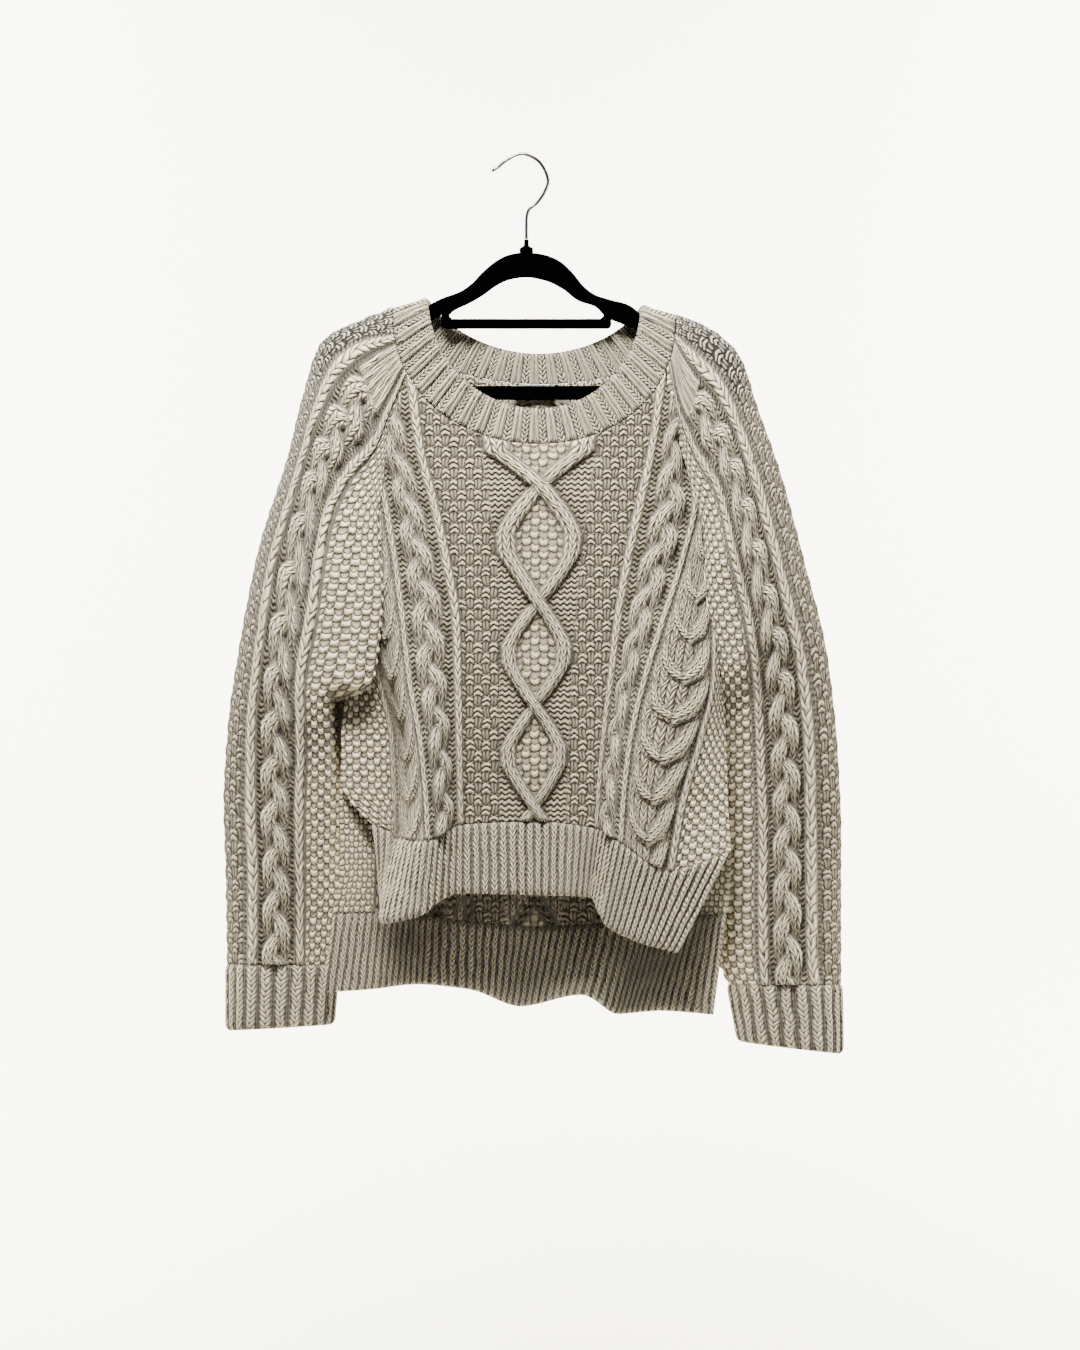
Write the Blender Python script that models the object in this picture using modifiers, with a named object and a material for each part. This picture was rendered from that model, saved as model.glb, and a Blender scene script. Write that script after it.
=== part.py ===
"""Cable knit sweater on a slim velvet hanger.

Every cloth piece is one knitted wall: a grid of points over the garment's own folds, with the
cables and ribs raised on its outer side and a plain inner side. Sizes in the tables are
millimetres; x runs to the right, z up, and a depth is how far the cloth stands in front of the
hanger. The origin is the inside of the hook's top, where the rail carries everything.
"""

import math

import bmesh
import bpy
import numpy as np

MM = 0.001

# --- driving dimensions (mm) -------------------------------------------------------------------
AXIS_FROM_APEX = (5.0, 0.0, -1.3)      # hanger's centre line, seen from the hook's inner apex
CLOTH = 4.0                            # knitted wall without its cables
SEAM_GAP = 0.8                         # between two pieces that are sewn together
NECK_GAP = 2.0                         # the same at the neck, whose curve the panels cut short
RAGLAN_GAP = 2.0                       # between a panel's raglan edge and the sleeve
UPPER_END = -538                       # a sleeve's edges are raglan seams above this height
UNDERARM = -563                        # and meet each other, as a closed tube, below this one
SLEEVE_ROW_GROWTH = 1.25               # rows lie closer together over the shoulder
UNDERARM_GAP = 0.6                     # between the two edges of a sleeve's own seam
INNER_STEP = 3                         # outer rows to one inner row

# Cloth positions of the lines that run down the front and the back: seams, ribs and centre.
LINES = {"side_l": -290, "rib3_l": -227, "rib2_l": -145, "rib1_l": -87, "centre": 0,
         "rib1_r": 87, "rib2_r": 145, "rib3_r": 227, "side_r": 290}

RIB = {"at": (87, 145, 227), "half": 5.5, "height": 2.2}
PLAIT = {"at": 116, "strand": 9.5, "half": 10, "period": 40, "height": 3.6}
HORSESHOE = {"at": 186, "reach": 28, "half": 10, "period": 40, "height": 3.6}
DIAMOND = {"reach": 27, "half": 8, "height": 4.0, "crossings": (-215, -330, -446, -549, -650)}

# Neck: two half ellipses at the front and at the back, the free edge and the seam edge.
NECK_CENTRE = {"x": 8, "edge_z": -144.5, "seam_z": -154, "tilt": 3.5, "flare": 0.35}
NECK = {"edge": {"half_width": 106, "front_drop": 108, "back_drop": 51, "front": 25, "back": 16,
                 "fullness": 1.0, "back_fullness": 1.5},
        "seam": {"half_width": 141, "front_drop": 134, "back_drop": 72, "front": 26, "back": 20,
                 "fullness": 0.85, "back_fullness": 0.85}}
SLEEVE_CORNER = {-1: 0.46, 1: 0.33}    # sine of the angle at which a sleeve leaves the neck seam
NECK_RIBS = 46
NECK_WALL = 3.0
NECK_RIB_HEIGHT = 2.4

# Where each line of the front hangs: z of the row, then x of every line.
FRONT_X = (
    (-180, -250, -208, -166, -118, 14, 138, 184, 228, 270),
    (-228, -244, -204, -160, -114, 14, 134, 178, 222, 264),
    (-293, -234, -196, -150, -106, 14, 125, 162, 214, 249),
    (-343, -226, -190, -141, -93, 14, 114, 168, 209, 239),
    (-403, -214, -174, -131, -80, 14, 101, 155, 196, 224),
    (-463, -200, -159, -123, -70, 11, 91, 136, 187, 209),
    (-523, -180, -147, -116, -68, 9, 84, 117, 185, 196),
    (-583, -185, -134, -105, -67, 8, 77, 103, 172, 199),
    (-643, -184, -132, -99, -66, 8, 72, 96, 155, 201),
    (-712, -170, -134, -96, -64, 8, 69, 92, 142, 205),
)
# And how far it stands in front of the hanger there.
FRONT_DEPTH = (
    (-180, 7, 8, 12, 18, 25, 18, 12, 8, 7),
    (-228, 8, 9, 14, 20, 26, 20, 14, 9, 8),
    (-293, 8, 9, 15, 22, 27, 22, 15, 9, 8),
    (-343, 7, 9, 16, 24, 31, 24, 17, 9, 7),
    (-403, 5, 9, 22, 28, 28, 28, 24, 14, 7),
    (-463, 3, 9, 32, 30, 26, 29, 36, 26, 8),
    (-523, 2, 8, 42, 32, 25, 31, 44, 33, 9),
    (-583, 2, 6, 51, 32, 24, 32, 52, 37, 12),
    (-643, 2, 6, 55, 32, 23, 33, 58, 41, 14),
    (-712, 4, 8, 58, 34, 25, 35, 64, 45, 18),
)
# Raglan seams: cloth position and z, from the neck corner to the underarm.
FRONT_RAGLAN = {"at": (92, 118, 145, 187, 227, 290), "z": (-226, -268, -333, -408, -475, -540)}
BACK_RAGLAN = {"at": (92, 118, 145, 187, 227, 290), "z": (-191, -238, -310, -398, -470, -540)}

# Lower edge of the knitted front, then the hem rib's free edge: line, x, z, depth.
FRONT_END_Z = (-667, -681, -682, -667, -664, -671, -684, -712, -693)
FRONT_HEM = (
    ("side_l", -142, -758, 14), ("rib3_l", -145, -764, 44), ("rib2_l", -105, -756, 66),
    ("rib1_l", -66, -735, 38), ("centre", 8, -737, 28), ("rib1_r", 62, -739, 34),
    ("rib2_r", 76, -763, 70), ("rib3_r", 116, -784, 56), ("side_r", 151, -794, 40),
)

BACK_X = (
    (-150, -250, -208, -172, -118, 14, 138, 186, 228, 270),
    (-191, -244, -204, -165, -114, 14, 134, 182, 222, 264),
    (-260, -236, -198, -155, -108, 14, 130, 172, 216, 250),
    (-340, -226, -192, -145, -95, 14, 116, 162, 208, 238),
    (-440, -206, -168, -128, -76, 12, 98, 142, 190, 216),
    (-540, -181, -150, -112, -66, 9, 84, 126, 172, 197),
    (-640, -187, -150, -108, -62, 8, 76, 122, 168, 201),
    (-700, -186, -150, -106, -60, 8, 74, 120, 168, 204),
    (-775, -197, -152, -104, -58, 8, 72, 118, 166, 200),
)
# Depth of the back: how far its outer side stands behind the hanger.
BACK_DEPTH = (
    (-150, 8, 8, 9, 10, 16, 10, 9, 8, 8),
    (-191, 9, 10, 12, 16, 20, 16, 12, 10, 9),
    (-260, 9, 10, 14, 17, 22, 17, 14, 10, 9),
    (-340, 8, 11, 16, 20, 24, 20, 16, 11, 8),
    (-440, 8, 14, 21, 25, 28, 25, 21, 14, 6),
    (-540, 7, 16, 27, 29, 34, 30, 27, 18, 2),
    (-640, 7, 19, 34, 28, 37, 30, 35, 21, -4),
    (-700, 7, 20, 37, 29, 37, 31, 38, 22, -6),
    (-775, 8, 23, 41, 30, 38, 32, 41, 25, 0),
)
BACK_END_Z = (-757, -757, -760, -765, -771, -768, -765, -760, -756)
BACK_HEM = (
    ("side_l", -206, -836, 7), ("rib3_l", -160, -834, 26), ("rib2_l", -108, -830, 43),
    ("rib1_l", -60, -834, 30), ("centre", -5, -852, 41), ("rib1_r", 55, -840, 30),
    ("rib2_r", 92, -860, 45), ("rib3_r", 140, -856, 28), ("side_r", 188, -858, 6),
)
HEM_RIBS = 56
HEM_RIB_HEIGHT = 2.2

# Sleeves. The outer line has its place at every station; top_y is its depth behind the hanger;
# swell_f and swell_b round the two faces; turn is how far a face bends round; inner_rib and
# outer_rib are the ribs' places as a share of the way from the inner line to the outer one.
# Down to the underarm the inner line is the raglan seam, and front_z and back_z are its heights.
UPPER_COLUMNS = ("front_z", "back_z", "top_x", "top_z", "top_y", "swell_f", "swell_b", "turn",
                 "inner_rib", "outer_rib")
UPPER_LEFT = (
    (-263, -236, -169, -165, 0, 20, 18, 100, 0.06, 0.74),
    (-313, -295, -204, -185, 0, 20, 18, 105, 0.17, 0.78),
    (-373, -362, -223, -238, 2, 20, 18, 115, 0.40, 0.84),
    (-443, -437, -238, -298, 4, 20, 18, 130, 0.55, 0.88),
    (-516, -514, -268, -393, 8, 20, 17, 155, 0.46, 0.87),
)
UPPER_RIGHT = (
    (-263, -236, 176, -168, 0, 20, 18, 100, 0.06, 0.62),
    (-313, -295, 212, -198, 0, 20, 18, 105, 0.15, 0.66),
    (-373, -362, 231, -251, 2, 20, 18, 115, 0.30, 0.72),
    (-443, -437, 254, -316, 4, 20, 18, 130, 0.36, 0.74),
    (-516, -514, 279, -408, 8, 19, 16, 155, 0.36, 0.74),
)
# Below the underarm the sleeve is a tube, and the inner line has a place of its own.
LOWER_COLUMNS = ("inner_x", "inner_z", "inner_y", "top_x", "top_z", "top_y", "swell_f",
                 "swell_b", "turn", "inner_rib", "outer_rib")
LOWER_LEFT = (
    (-187, -563, 8, -288, -493, 14, 20, 20, 180, 0.41, 0.82),
    (-185, -606, 22, -299, -567, 20, 18, 20, 180, 0.37, 0.80),
    (-181, -673, 28, -304, -648, 26, 17, 20, 180, 0.38, 0.77),
    (-182, -723, 32, -302, -723, 30, 17, 19, 180, 0.38, 0.76),
    (-190, -809, 34, -301, -809, 34, 17, 17, 180, 0.34, 0.76),
)
LOWER_RIGHT = (
    (203, -565, 12, 301, -497, 14, 18, 18, 180, 0.34, 0.75),
    (198, -613, 24, 312, -593, 20, 18, 18, 180, 0.35, 0.75),
    (192, -673, 29, 316, -679, 26, 18, 18, 180, 0.37, 0.74),
    (190, -743, 30, 316, -743, 28, 18, 18, 180, 0.38, 0.75),
    (193, -803, 29, 316, -803, 28, 17, 17, 180, 0.37, 0.75),
    (203, -829, 28, 316, -829, 28, 17, 17, 180, 0.33, 0.75),
)
# The left sleeve's soft bulge, which ends in a lip: x, half width, z where it starts, z of its
# lip, z where it has gone, and its push.
SLEEVE_BULGE = {"x": -204, "half_width": 46, "start": -380, "lip": -505, "gone": -570, "push": 14}
SLEEVE_PLAIT = {"at": 1.5, "strand": 0.24, "half": 0.24, "period": 44, "height": 3.4}
# Cuffs: the free edge, with the first columns of the tables above.
CUFF_LEFT = (-195, -870, 34, -301, -876, 34, 14, 14)
CUFF_RIGHT = (214, -887, 28, 317, -899, 28, 14, 14)
CUFF_RIBS = 22
CUFF_RIB_HEIGHT = 2.0

# Hanger: a flat plate with two windows, its outline given for one side at a time.
PLATE = 5.0
PLATE_TOP_LEFT = ((-206, -224), (-204, -210), (-198, -199), (-186, -189), (-167, -180),
                  (-138, -168), (-104, -153), (-98, -149), (-92, -145), (-82, -140.5), (-67, -135),
                  (-55, -127), (-44, -115.5), (-30, -104), (-17, -97.7), (-6, -96))
PLATE_TOP_RIGHT = ((6, -96), (19, -98), (33, -104), (46, -115.5), (57, -129), (69, -138),
                   (86, -143.3), (100, -147), (107, -151), (120, -162), (152, -174), (174, -184),
                   (190, -195), (199, -208), (202, -224))
BAR_TOP, BAR_FOOT, BAR_END = -229, -243, 186
TIE_TOP, TIE_FOOT, POST_OUT, POST_IN = -162, -172, 85, 77
ARCH_LOWER = ((-77, -158), (-72, -153.5), (-60, -148), (-44, -139), (-30, -129), (-17, -123),
              (0, -120.6), (19, -124), (36, -132), (52, -144), (69, -150), (77, -158))
ARM_LOWER_LEFT = ((-85, -158), (-103, -168), (-138, -181), (-167, -193), (-182, -201),
                  (-189, -211), (-190, -219))
ARM_LOWER_RIGHT = ((187, -219), (185, -211), (176, -204), (152, -189), (118, -176), (85, -163))

WIRE = 3.5
HOOK = ((-34.8, -14.5), (-28, -10), (-19.4, -3), (-5, 3.1), (10.6, -3), (19.6, -16),
        (21.6, -24), (18.6, -34), (10.6, -46), (1.8, -54), (0, -62.5), (0, -82.3))
FERRULE = ((0.0, -82.7), (2.4, -82.7), (2.6, -89.0), (6.6, -91.0), (7.0, -95.6), (0.0, -95.6))
LABEL = {"x": 8, "top": -228, "width": 41, "height": 13, "thick": 0.9, "y": 13.2}


# Columns of each panel, from its centre to one side: enough to carry every rib and cable.
FRONT_COLUMNS = (0, 9, 18, 27, 36, 45, 64, 81, 87, 93, 106.5, 116, 125.5, 139, 145, 151,
                 160, 173, 186, 199, 212, 221, 227, 233, 260, 290)
BACK_COLUMNS = (0, 13, 27, 41, 64, 81, 87, 93, 106.5, 125.5, 139, 145, 151,
                166, 186, 206, 221, 227, 233, 260, 290)
FRONT = {"x": FRONT_X, "depth": FRONT_DEPTH, "forward": 1, "raglan": FRONT_RAGLAN,
         "end_z": FRONT_END_Z, "columns": FRONT_COLUMNS}
BACK = {"x": BACK_X, "depth": BACK_DEPTH, "forward": -1, "raglan": BACK_RAGLAN,
        "end_z": BACK_END_Z, "columns": BACK_COLUMNS}


# --- helpers -----------------------------------------------------------------------------------
def smooth(knots, values, at):
    """A curve through the values at the knots that never overshoots them. values may hold one
    column for each point of at."""
    knots, at = np.asarray(knots, float), np.atleast_1d(np.asarray(at, float))
    values = np.asarray(values, float)
    if values.ndim == 1:
        values = np.repeat(values[:, None], at.size, axis=1)
    if knots[0] > knots[-1]:
        knots, values = knots[::-1], values[::-1]
    gap = np.diff(knots)[:, None]
    rise = np.diff(values, axis=0) / gap
    slope = np.vstack([rise[:1], np.zeros_like(rise[1:]), rise[-1:]])
    product, total = rise[:-1] * rise[1:], rise[:-1] + rise[1:]
    same_way = product > 0
    slope[1:-1][same_way] = 2 * product[same_way] / total[same_way]
    i = np.clip(np.searchsorted(knots, at) - 1, 0, len(knots) - 2)
    n = np.arange(at.size)
    h = gap[i, 0]
    t = np.clip((at - knots[i]) / h, 0, 1)
    start, end = (1 + 2 * t) * (1 - t) ** 2, t * t * (3 - 2 * t)
    return (start * values[i, n] + end * values[i + 1, n]
            + h * t * (1 - t) ** 2 * slope[i, n] - h * t * t * (1 - t) * slope[i + 1, n])


def dome(distance, half):
    """A rounded ridge: 1 on its line, 0 from half a width out."""
    return np.sqrt(np.clip(1 - (np.asarray(distance) / half) ** 2, 0, 1))


def grid_normals(points, outward):
    along = np.gradient(points, axis=1)
    down = np.gradient(points, axis=0)
    normal = outward * np.cross(along, down)
    return normal / np.linalg.norm(normal, axis=2, keepdims=True)


def material(name, colour, roughness, metallic=0.0):
    made = bpy.data.materials.new(name)
    made.use_nodes = True
    shader = made.node_tree.nodes["Principled BSDF"]
    shader.inputs["Base Color"].default_value = (*colour, 1.0)
    shader.inputs["Roughness"].default_value = roughness
    shader.inputs["Metallic"].default_value = metallic
    return made


def add_object(name, data, finish):
    made = bpy.data.objects.new(name, data)
    data.materials.append(finish)
    parts.objects.link(made)
    made.parent = hanger_axis
    return made


def bridge(faces, fine, coarse):
    """Close the strip between two chains of points, one with a whole number of times the
    other's steps."""
    ratio = (len(fine) - 1) // (len(coarse) - 1)
    for k in range(len(coarse) - 1):
        for step in range(ratio):
            i = k * ratio + step
            near = coarse[k] if step < (ratio + 1) // 2 else coarse[k + 1]
            faces.append((fine[i], fine[i + 1], near))
        middle = fine[k * ratio + (ratio + 1) // 2]
        faces.append((coarse[k], middle, coarse[k + 1]))


def knitted_wall(name, base, raised, finish, outward, row_step=INNER_STEP, column_step=1,
                 round_about=False, edge_normals=None, wall=CLOTH):
    """One closed wall. base is a grid of points in mm, rows by columns; raised is how far each
    outer point stands off it; the inner side takes every row_step-th row and column_step-th
    column. A wall that goes all the way round joins its last column to its first. edge_normals
    turns the wall at its two side edges, so that it meets its neighbour squarely."""
    if round_about:
        wide = np.concatenate([base[:, -2:], base, base[:, :2]], axis=1)
        normal = grid_normals(wide, outward)[:, 2:-2]
    else:
        normal = grid_normals(base, outward)
    if edge_normals is not None:
        normal[:, 0], normal[:, -1] = edge_normals
    outer = base + normal * raised[..., None]
    inner = (base - normal * wall)[::row_step, ::column_step]
    rows, columns = outer.shape[:2]
    inner_rows, inner_columns = inner.shape[:2]
    points = np.concatenate([outer.reshape(-1, 3), inner.reshape(-1, 3)]) * MM
    out = np.arange(rows * columns).reshape(rows, columns)
    back = rows * columns + np.arange(inner_rows * inner_columns).reshape(inner_rows, -1)
    if round_about:
        out, back = np.hstack([out, out[:, :1]]), np.hstack([back, back[:, :1]])
    faces = []
    for grid in (out, back):
        for r in range(grid.shape[0] - 1):
            for c in range(grid.shape[1] - 1):
                faces.append((grid[r, c], grid[r, c + 1], grid[r + 1, c + 1], grid[r + 1, c]))
    bridge(faces, out[0], back[0])
    bridge(faces, out[-1], back[-1])
    if not round_about:
        bridge(faces, out[:, 0], back[:, 0])
        bridge(faces, out[:, -1], back[:, -1])
    mesh = bpy.data.meshes.new(name)
    mesh.from_pydata([tuple(p) for p in points], [], [tuple(int(i) for i in f) for f in faces])
    work = bmesh.new()
    work.from_mesh(mesh)
    bmesh.ops.recalc_face_normals(work, faces=work.faces)
    work.to_mesh(mesh)
    work.free()
    mesh.shade_smooth()
    return add_object(name, mesh, finish)


# --- the cloth's own surfaces ------------------------------------------------------------------
def neck_curve(which, angle):
    """A point of the neck's free edge or seam edge. The angle runs from the right shoulder over
    the front (0 to pi) to the left one, and on round the back."""
    size = NECK[which]
    turn = np.asarray(angle, float)
    front = np.sin(turn) > 0
    lift = np.abs(np.sin(turn))
    fall = lift ** np.where(front, size["fullness"], size["back_fullness"])
    drop = np.where(front, size["front_drop"], size["back_drop"])
    depth = np.where(front, -size["front"], size["back"])
    x = NECK_CENTRE["x"] + size["half_width"] * np.cos(turn)
    z = NECK_CENTRE[which + "_z"] - NECK_CENTRE["tilt"] * np.cos(turn) - drop * fall
    return np.stack([x, depth * lift ** NECK_CENTRE["flare"], z], axis=-1)


def hang(face, u, z):
    """Where the cloth point u of the front or the back hangs at height z."""
    table, depths, forward = face["x"], face["depth"], face["forward"]
    heights = [row[0] for row in table]
    lines = tuple(LINES.values())
    x_lines = np.stack([smooth(heights, [row[k + 1] for row in table], z) for k in range(9)])
    d_lines = np.stack([smooth(heights, [row[k + 1] for row in depths], z) for k in range(9)])
    x = smooth(lines, x_lines, u)
    y = -forward * smooth(lines, d_lines, u)
    return np.stack([x, y, z], axis=-1)


def top_edge(face, u):
    """The height at which each cloth point starts: the neck seam, or the raglan seam."""
    drop = NECK["seam"]["front_drop" if face["forward"] > 0 else "back_drop"]
    raglan = face["raglan"]
    z = np.full(u.shape, -260.0)
    for _ in range(8):
        x = hang(face, u, z)[:, 0]
        across = np.clip((x - NECK_CENTRE["x"]) / NECK["seam"]["half_width"], -1, 1)
        fall = (1 - across ** 2) ** (NECK["seam"]["fullness"] / 2)
        z = NECK_CENTRE["seam_z"] - NECK_CENTRE["tilt"] * across - drop * fall - NECK_GAP
    sewn = smooth(raglan["at"], raglan["z"], np.abs(u))
    return np.where(np.abs(u) < raglan["at"][0], z, np.minimum(sewn, z))


def cable_relief(u, z):
    """How far the front's ribs, plaits, horseshoes and diamonds stand off the cloth."""
    side = np.abs(u)
    raised = np.zeros_like(u)
    for at in RIB["at"]:
        raised = np.maximum(raised, RIB["height"] * dome(side - at, RIB["half"]))
    phase = 2 * math.pi * z / PLAIT["period"]
    for way in (-1, 1):
        strand = dome(side - PLAIT["at"] - way * PLAIT["strand"], PLAIT["half"])
        raised = np.maximum(raised, PLAIT["height"] * strand * (0.7 + 0.3 * way * np.sin(phase)))
    share = np.mod(-z / HORSESHOE["period"], 1.0)
    arm = HORSESHOE["reach"] * np.sqrt(1 - share)
    shoe = dome(np.abs(side - HORSESHOE["at"]) - arm, HORSESHOE["half"])
    raised = np.maximum(raised, HORSESHOE["height"] * shoe)
    steps = np.interp(-z, [-c for c in DIAMOND["crossings"]], range(len(DIAMOND["crossings"])))
    rope = DIAMOND["reach"] * np.abs(np.sin(math.pi * steps))
    diamond = dome(side - rope, DIAMOND["half"])
    return np.maximum(raised, DIAMOND["height"] * diamond)


def panel_columns(half):
    return np.array([-u for u in reversed(half) if u] + list(half), float)


def panel(name, face, rows, finish):
    u = panel_columns(face["columns"])
    start = top_edge(face, u)
    end = smooth(tuple(LINES.values()), face["end_z"], u)
    down = np.linspace(0, 1, rows)[:, None]
    z = start + (end - start) * down
    wide = np.broadcast_to(u, z.shape)
    base = hang(face, wide.ravel(), z.ravel()).reshape(*z.shape, 3)
    raised = cable_relief(wide, z)
    raised[0], raised[-1] = 0, 0
    square = np.tile((0, -face["forward"], 0), (rows, 1))
    return knitted_wall(name, base, raised, finish, -face["forward"], edge_normals=(square, square))


def hem_rib(name, face, hem, finish):
    """The rib below a panel: it hangs from the panel's lower edge to its own free edge."""
    lines, forward = tuple(LINES.values()), face["forward"]
    u = np.linspace(lines[0], lines[-1], 2 * HEM_RIBS + 1)
    panel_u = panel_columns(face["columns"])
    panel_end = hang(face, panel_u, smooth(lines, face["end_z"], panel_u))
    top = np.stack([np.interp(u, panel_u, panel_end[:, k]) for k in range(3)], axis=-1)
    top[:, 2] -= SEAM_GAP
    low = np.stack([smooth(lines, [row[1] for row in hem], u),
                    -forward * smooth(lines, [row[3] for row in hem], u),
                    smooth(lines, [row[2] for row in hem], u)], axis=-1)
    down = np.linspace(0, 1, 3)[:, None, None]
    base = top + (low - top) * down
    raised = np.zeros(base.shape[:2])
    raised[1:, 1::2] = HEM_RIB_HEIGHT
    return knitted_wall(name, base, raised, finish, -forward, row_step=1, column_step=2)


def raglan_line(face, side, z):
    """The sleeve's side of a raglan seam at the heights z, just outside the panel's edge."""
    u = side * np.array([c for c in face["columns"] if c > face["raglan"]["at"][0]], float)
    edge = hang(face, u, top_edge(face, u))
    x, y = (np.interp(-np.asarray(z, float), -edge[:, 2], edge[:, k]) for k in (0, 1))
    return np.stack([x + side * RAGLAN_GAP, y, np.broadcast_to(z, x.shape)], axis=-1)


def sleeve_section(s, inner_front, inner_back, columns):
    """One station of a sleeve. columns count 0 at the inner line, 1 and 2 on the ribs, 3 on the
    outer line, and on to 6 at the inner line behind."""
    behind = columns > 3
    place = np.where(behind, 6 - columns, columns)
    way = np.where(place < 1, 1 - s["inner_rib"] * np.clip(place, 0, 1) ** 1.5,
                   1 - np.interp(place, (1, 2), (s["inner_rib"], s["outer_rib"])))
    way = np.where(place > 2, (1 - s["outer_rib"]) * (3 - place) ** 2, way)
    turn = math.radians(s["turn"])
    cosine = 1 - way * (1 - math.cos(turn))
    round_out = np.sqrt(np.clip(1 - cosine ** 2, 0, 1)) - math.sin(turn) * way
    inner = np.where(behind[:, None], inner_back, inner_front)
    outer = np.array([s["top_x"], s["top_y"], s["top_z"]])
    points = outer + (inner - outer) * way[:, None]
    points[:, 1] += np.where(behind, s["swell_b"], -s["swell_f"]) * round_out
    return points


def sleeve_sections(side, columns):
    """Every station of a sleeve, from the neck seam to the cuff."""
    sections = [neck_row(side, columns)]
    for row in UPPER_LEFT if side < 0 else UPPER_RIGHT:
        s = dict(zip(UPPER_COLUMNS, row))
        front = raglan_line(FRONT, side, s["front_z"])
        back = raglan_line(BACK, side, s["back_z"])
        sections.append(sleeve_section(s, front, back, columns))
    for row in LOWER_LEFT if side < 0 else LOWER_RIGHT:
        s = dict(zip(LOWER_COLUMNS, row))
        inner = np.array([s["inner_x"], s["inner_y"], s["inner_z"]])
        part = np.array([0, UNDERARM_GAP / 2, 0])
        sections.append(sleeve_section(s, inner - part, inner + part, columns))
    return np.array(sections)


def neck_row(side, columns):
    """The sleeve's first row, which follows the neckband from the front corner to the back."""
    corner = math.asin(SLEEVE_CORNER[side])
    turn = corner * (1 - columns / 3)
    angle = turn if side > 0 else math.pi - turn
    point = neck_curve("seam", angle)
    centre = np.array([NECK_CENTRE["x"], 0, NECK_CENTRE["seam_z"]])
    away = point - centre
    away[:, 1] = 0
    return point + away / np.linalg.norm(away, axis=1, keepdims=True) * NECK_GAP


def bulge(points):
    """Push of the left sleeve's bulge at each point, forward."""
    b = SLEEVE_BULGE
    across = np.clip(1 - ((points[..., 0] - b["x"]) / b["half_width"]) ** 2, 0, 1)
    length = smooth((b["gone"], b["lip"], b["start"]), (0, 1, 0), points[..., 2].ravel())
    return b["push"] * across * length.reshape(points.shape[:-1])


def sleeve_base(side, columns, rows):
    """The sleeve's surface, rows spread evenly over its stations."""
    sections = sleeve_sections(side, columns)
    length = np.linalg.norm(np.diff(sections[:, len(columns) // 2], axis=0), axis=1)
    inner = np.linalg.norm(np.diff(sections[:, 0], axis=0), axis=1)
    reach = np.concatenate([[0], np.cumsum((length + inner) / 2)])
    at = reach[-1] * np.linspace(0, 1, rows) ** SLEEVE_ROW_GROWTH
    base = np.stack([np.stack([smooth(reach, sections[:, c, axis], at)
                               for c in range(len(columns))], axis=1) for axis in range(3)],
                    axis=-1)
    if side < 0:
        share = np.where(columns < 3, np.clip(columns / 0.5, 0, 1), 0)
        base[..., 1] -= share * bulge(base)
    for face, column in ((FRONT, 0), (BACK, -1)):
        sewn = base[:, column, 2] > UPPER_END
        base[sewn, column] = raglan_line(face, side, base[sewn, column, 2])
    tube = base[:, 0, 2] < UNDERARM
    middle = (base[tube, 0] + base[tube, -1]) / 2
    part = np.array([0, UNDERARM_GAP / 2, 0])
    base[tube, 0], base[tube, -1] = middle - part, middle + part
    return base, at


def sleeve_relief(columns, along):
    place = np.where(columns > 3, 6 - columns, columns)[None, :]
    raised = RIB["height"] * np.maximum(dome(place - 1, 0.1), dome(place - 2, 0.1))
    raised = np.repeat(raised, len(along), axis=0)
    phase = (2 * math.pi * along / SLEEVE_PLAIT["period"])[:, None]
    for way in (-1, 1):
        strand = dome(place - SLEEVE_PLAIT["at"] - way * SLEEVE_PLAIT["strand"],
                      SLEEVE_PLAIT["half"])
        wave = SLEEVE_PLAIT["height"] * strand * (0.7 + 0.3 * way * np.sin(phase))
        raised = np.maximum(raised, wave)
    raised[0], raised[-1] = 0, 0
    return raised


def sleeve(name, side, finish):
    half = (0, 0.5, 0.92, 1, 1.08, 1.26, 1.5, 1.74, 1.92, 2, 2.08, 2.4, 2.7)
    columns = np.array(half + (3,) + tuple(6 - c for c in reversed(half)), float)
    base, along = sleeve_base(side, columns, 24)
    tube = np.interp(-base[:, 0, 2], (-UPPER_END, -UNDERARM), (0, 1))[:, None]
    edges = []
    for way in (-1, 1):
        normal = tube * np.array([-side, 0, 0]) + (1 - tube) * np.array([0, way, 0])
        edges.append(normal / np.linalg.norm(normal, axis=1, keepdims=True))
    return knitted_wall(name, base, sleeve_relief(columns, along), finish, -side, row_step=1,
                        edge_normals=edges)


def cuff(name, side, finish):
    """The rib below a sleeve, closed all round."""
    turn = np.linspace(0, 2 * math.pi, 2 * CUFF_RIBS, endpoint=False)

    def ring(row):
        s = dict(zip(LOWER_COLUMNS, row))
        swell = np.where(np.sin(turn) > 0, -s["swell_f"], s["swell_b"])
        way = (1 - np.cos(turn)) / 2
        return np.stack([s["top_x"] + (s["inner_x"] - s["top_x"]) * way,
                         s["top_y"] + swell * np.abs(np.sin(turn)),
                         s["top_z"] + (s["inner_z"] - s["top_z"]) * way], axis=-1)

    last, low = (LOWER_LEFT[-1], CUFF_LEFT) if side < 0 else (LOWER_RIGHT[-1], CUFF_RIGHT)
    top, end = ring(last) - np.array([0, 0, SEAM_GAP]), ring(low)
    base = top + (end - top) * np.linspace(0, 1, 3)[:, None, None]
    raised = np.zeros(base.shape[:2])
    raised[1:, 1::2] = CUFF_RIB_HEIGHT
    return knitted_wall(name, base, raised, finish, side, row_step=1, column_step=2,
                        round_about=True)


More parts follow.
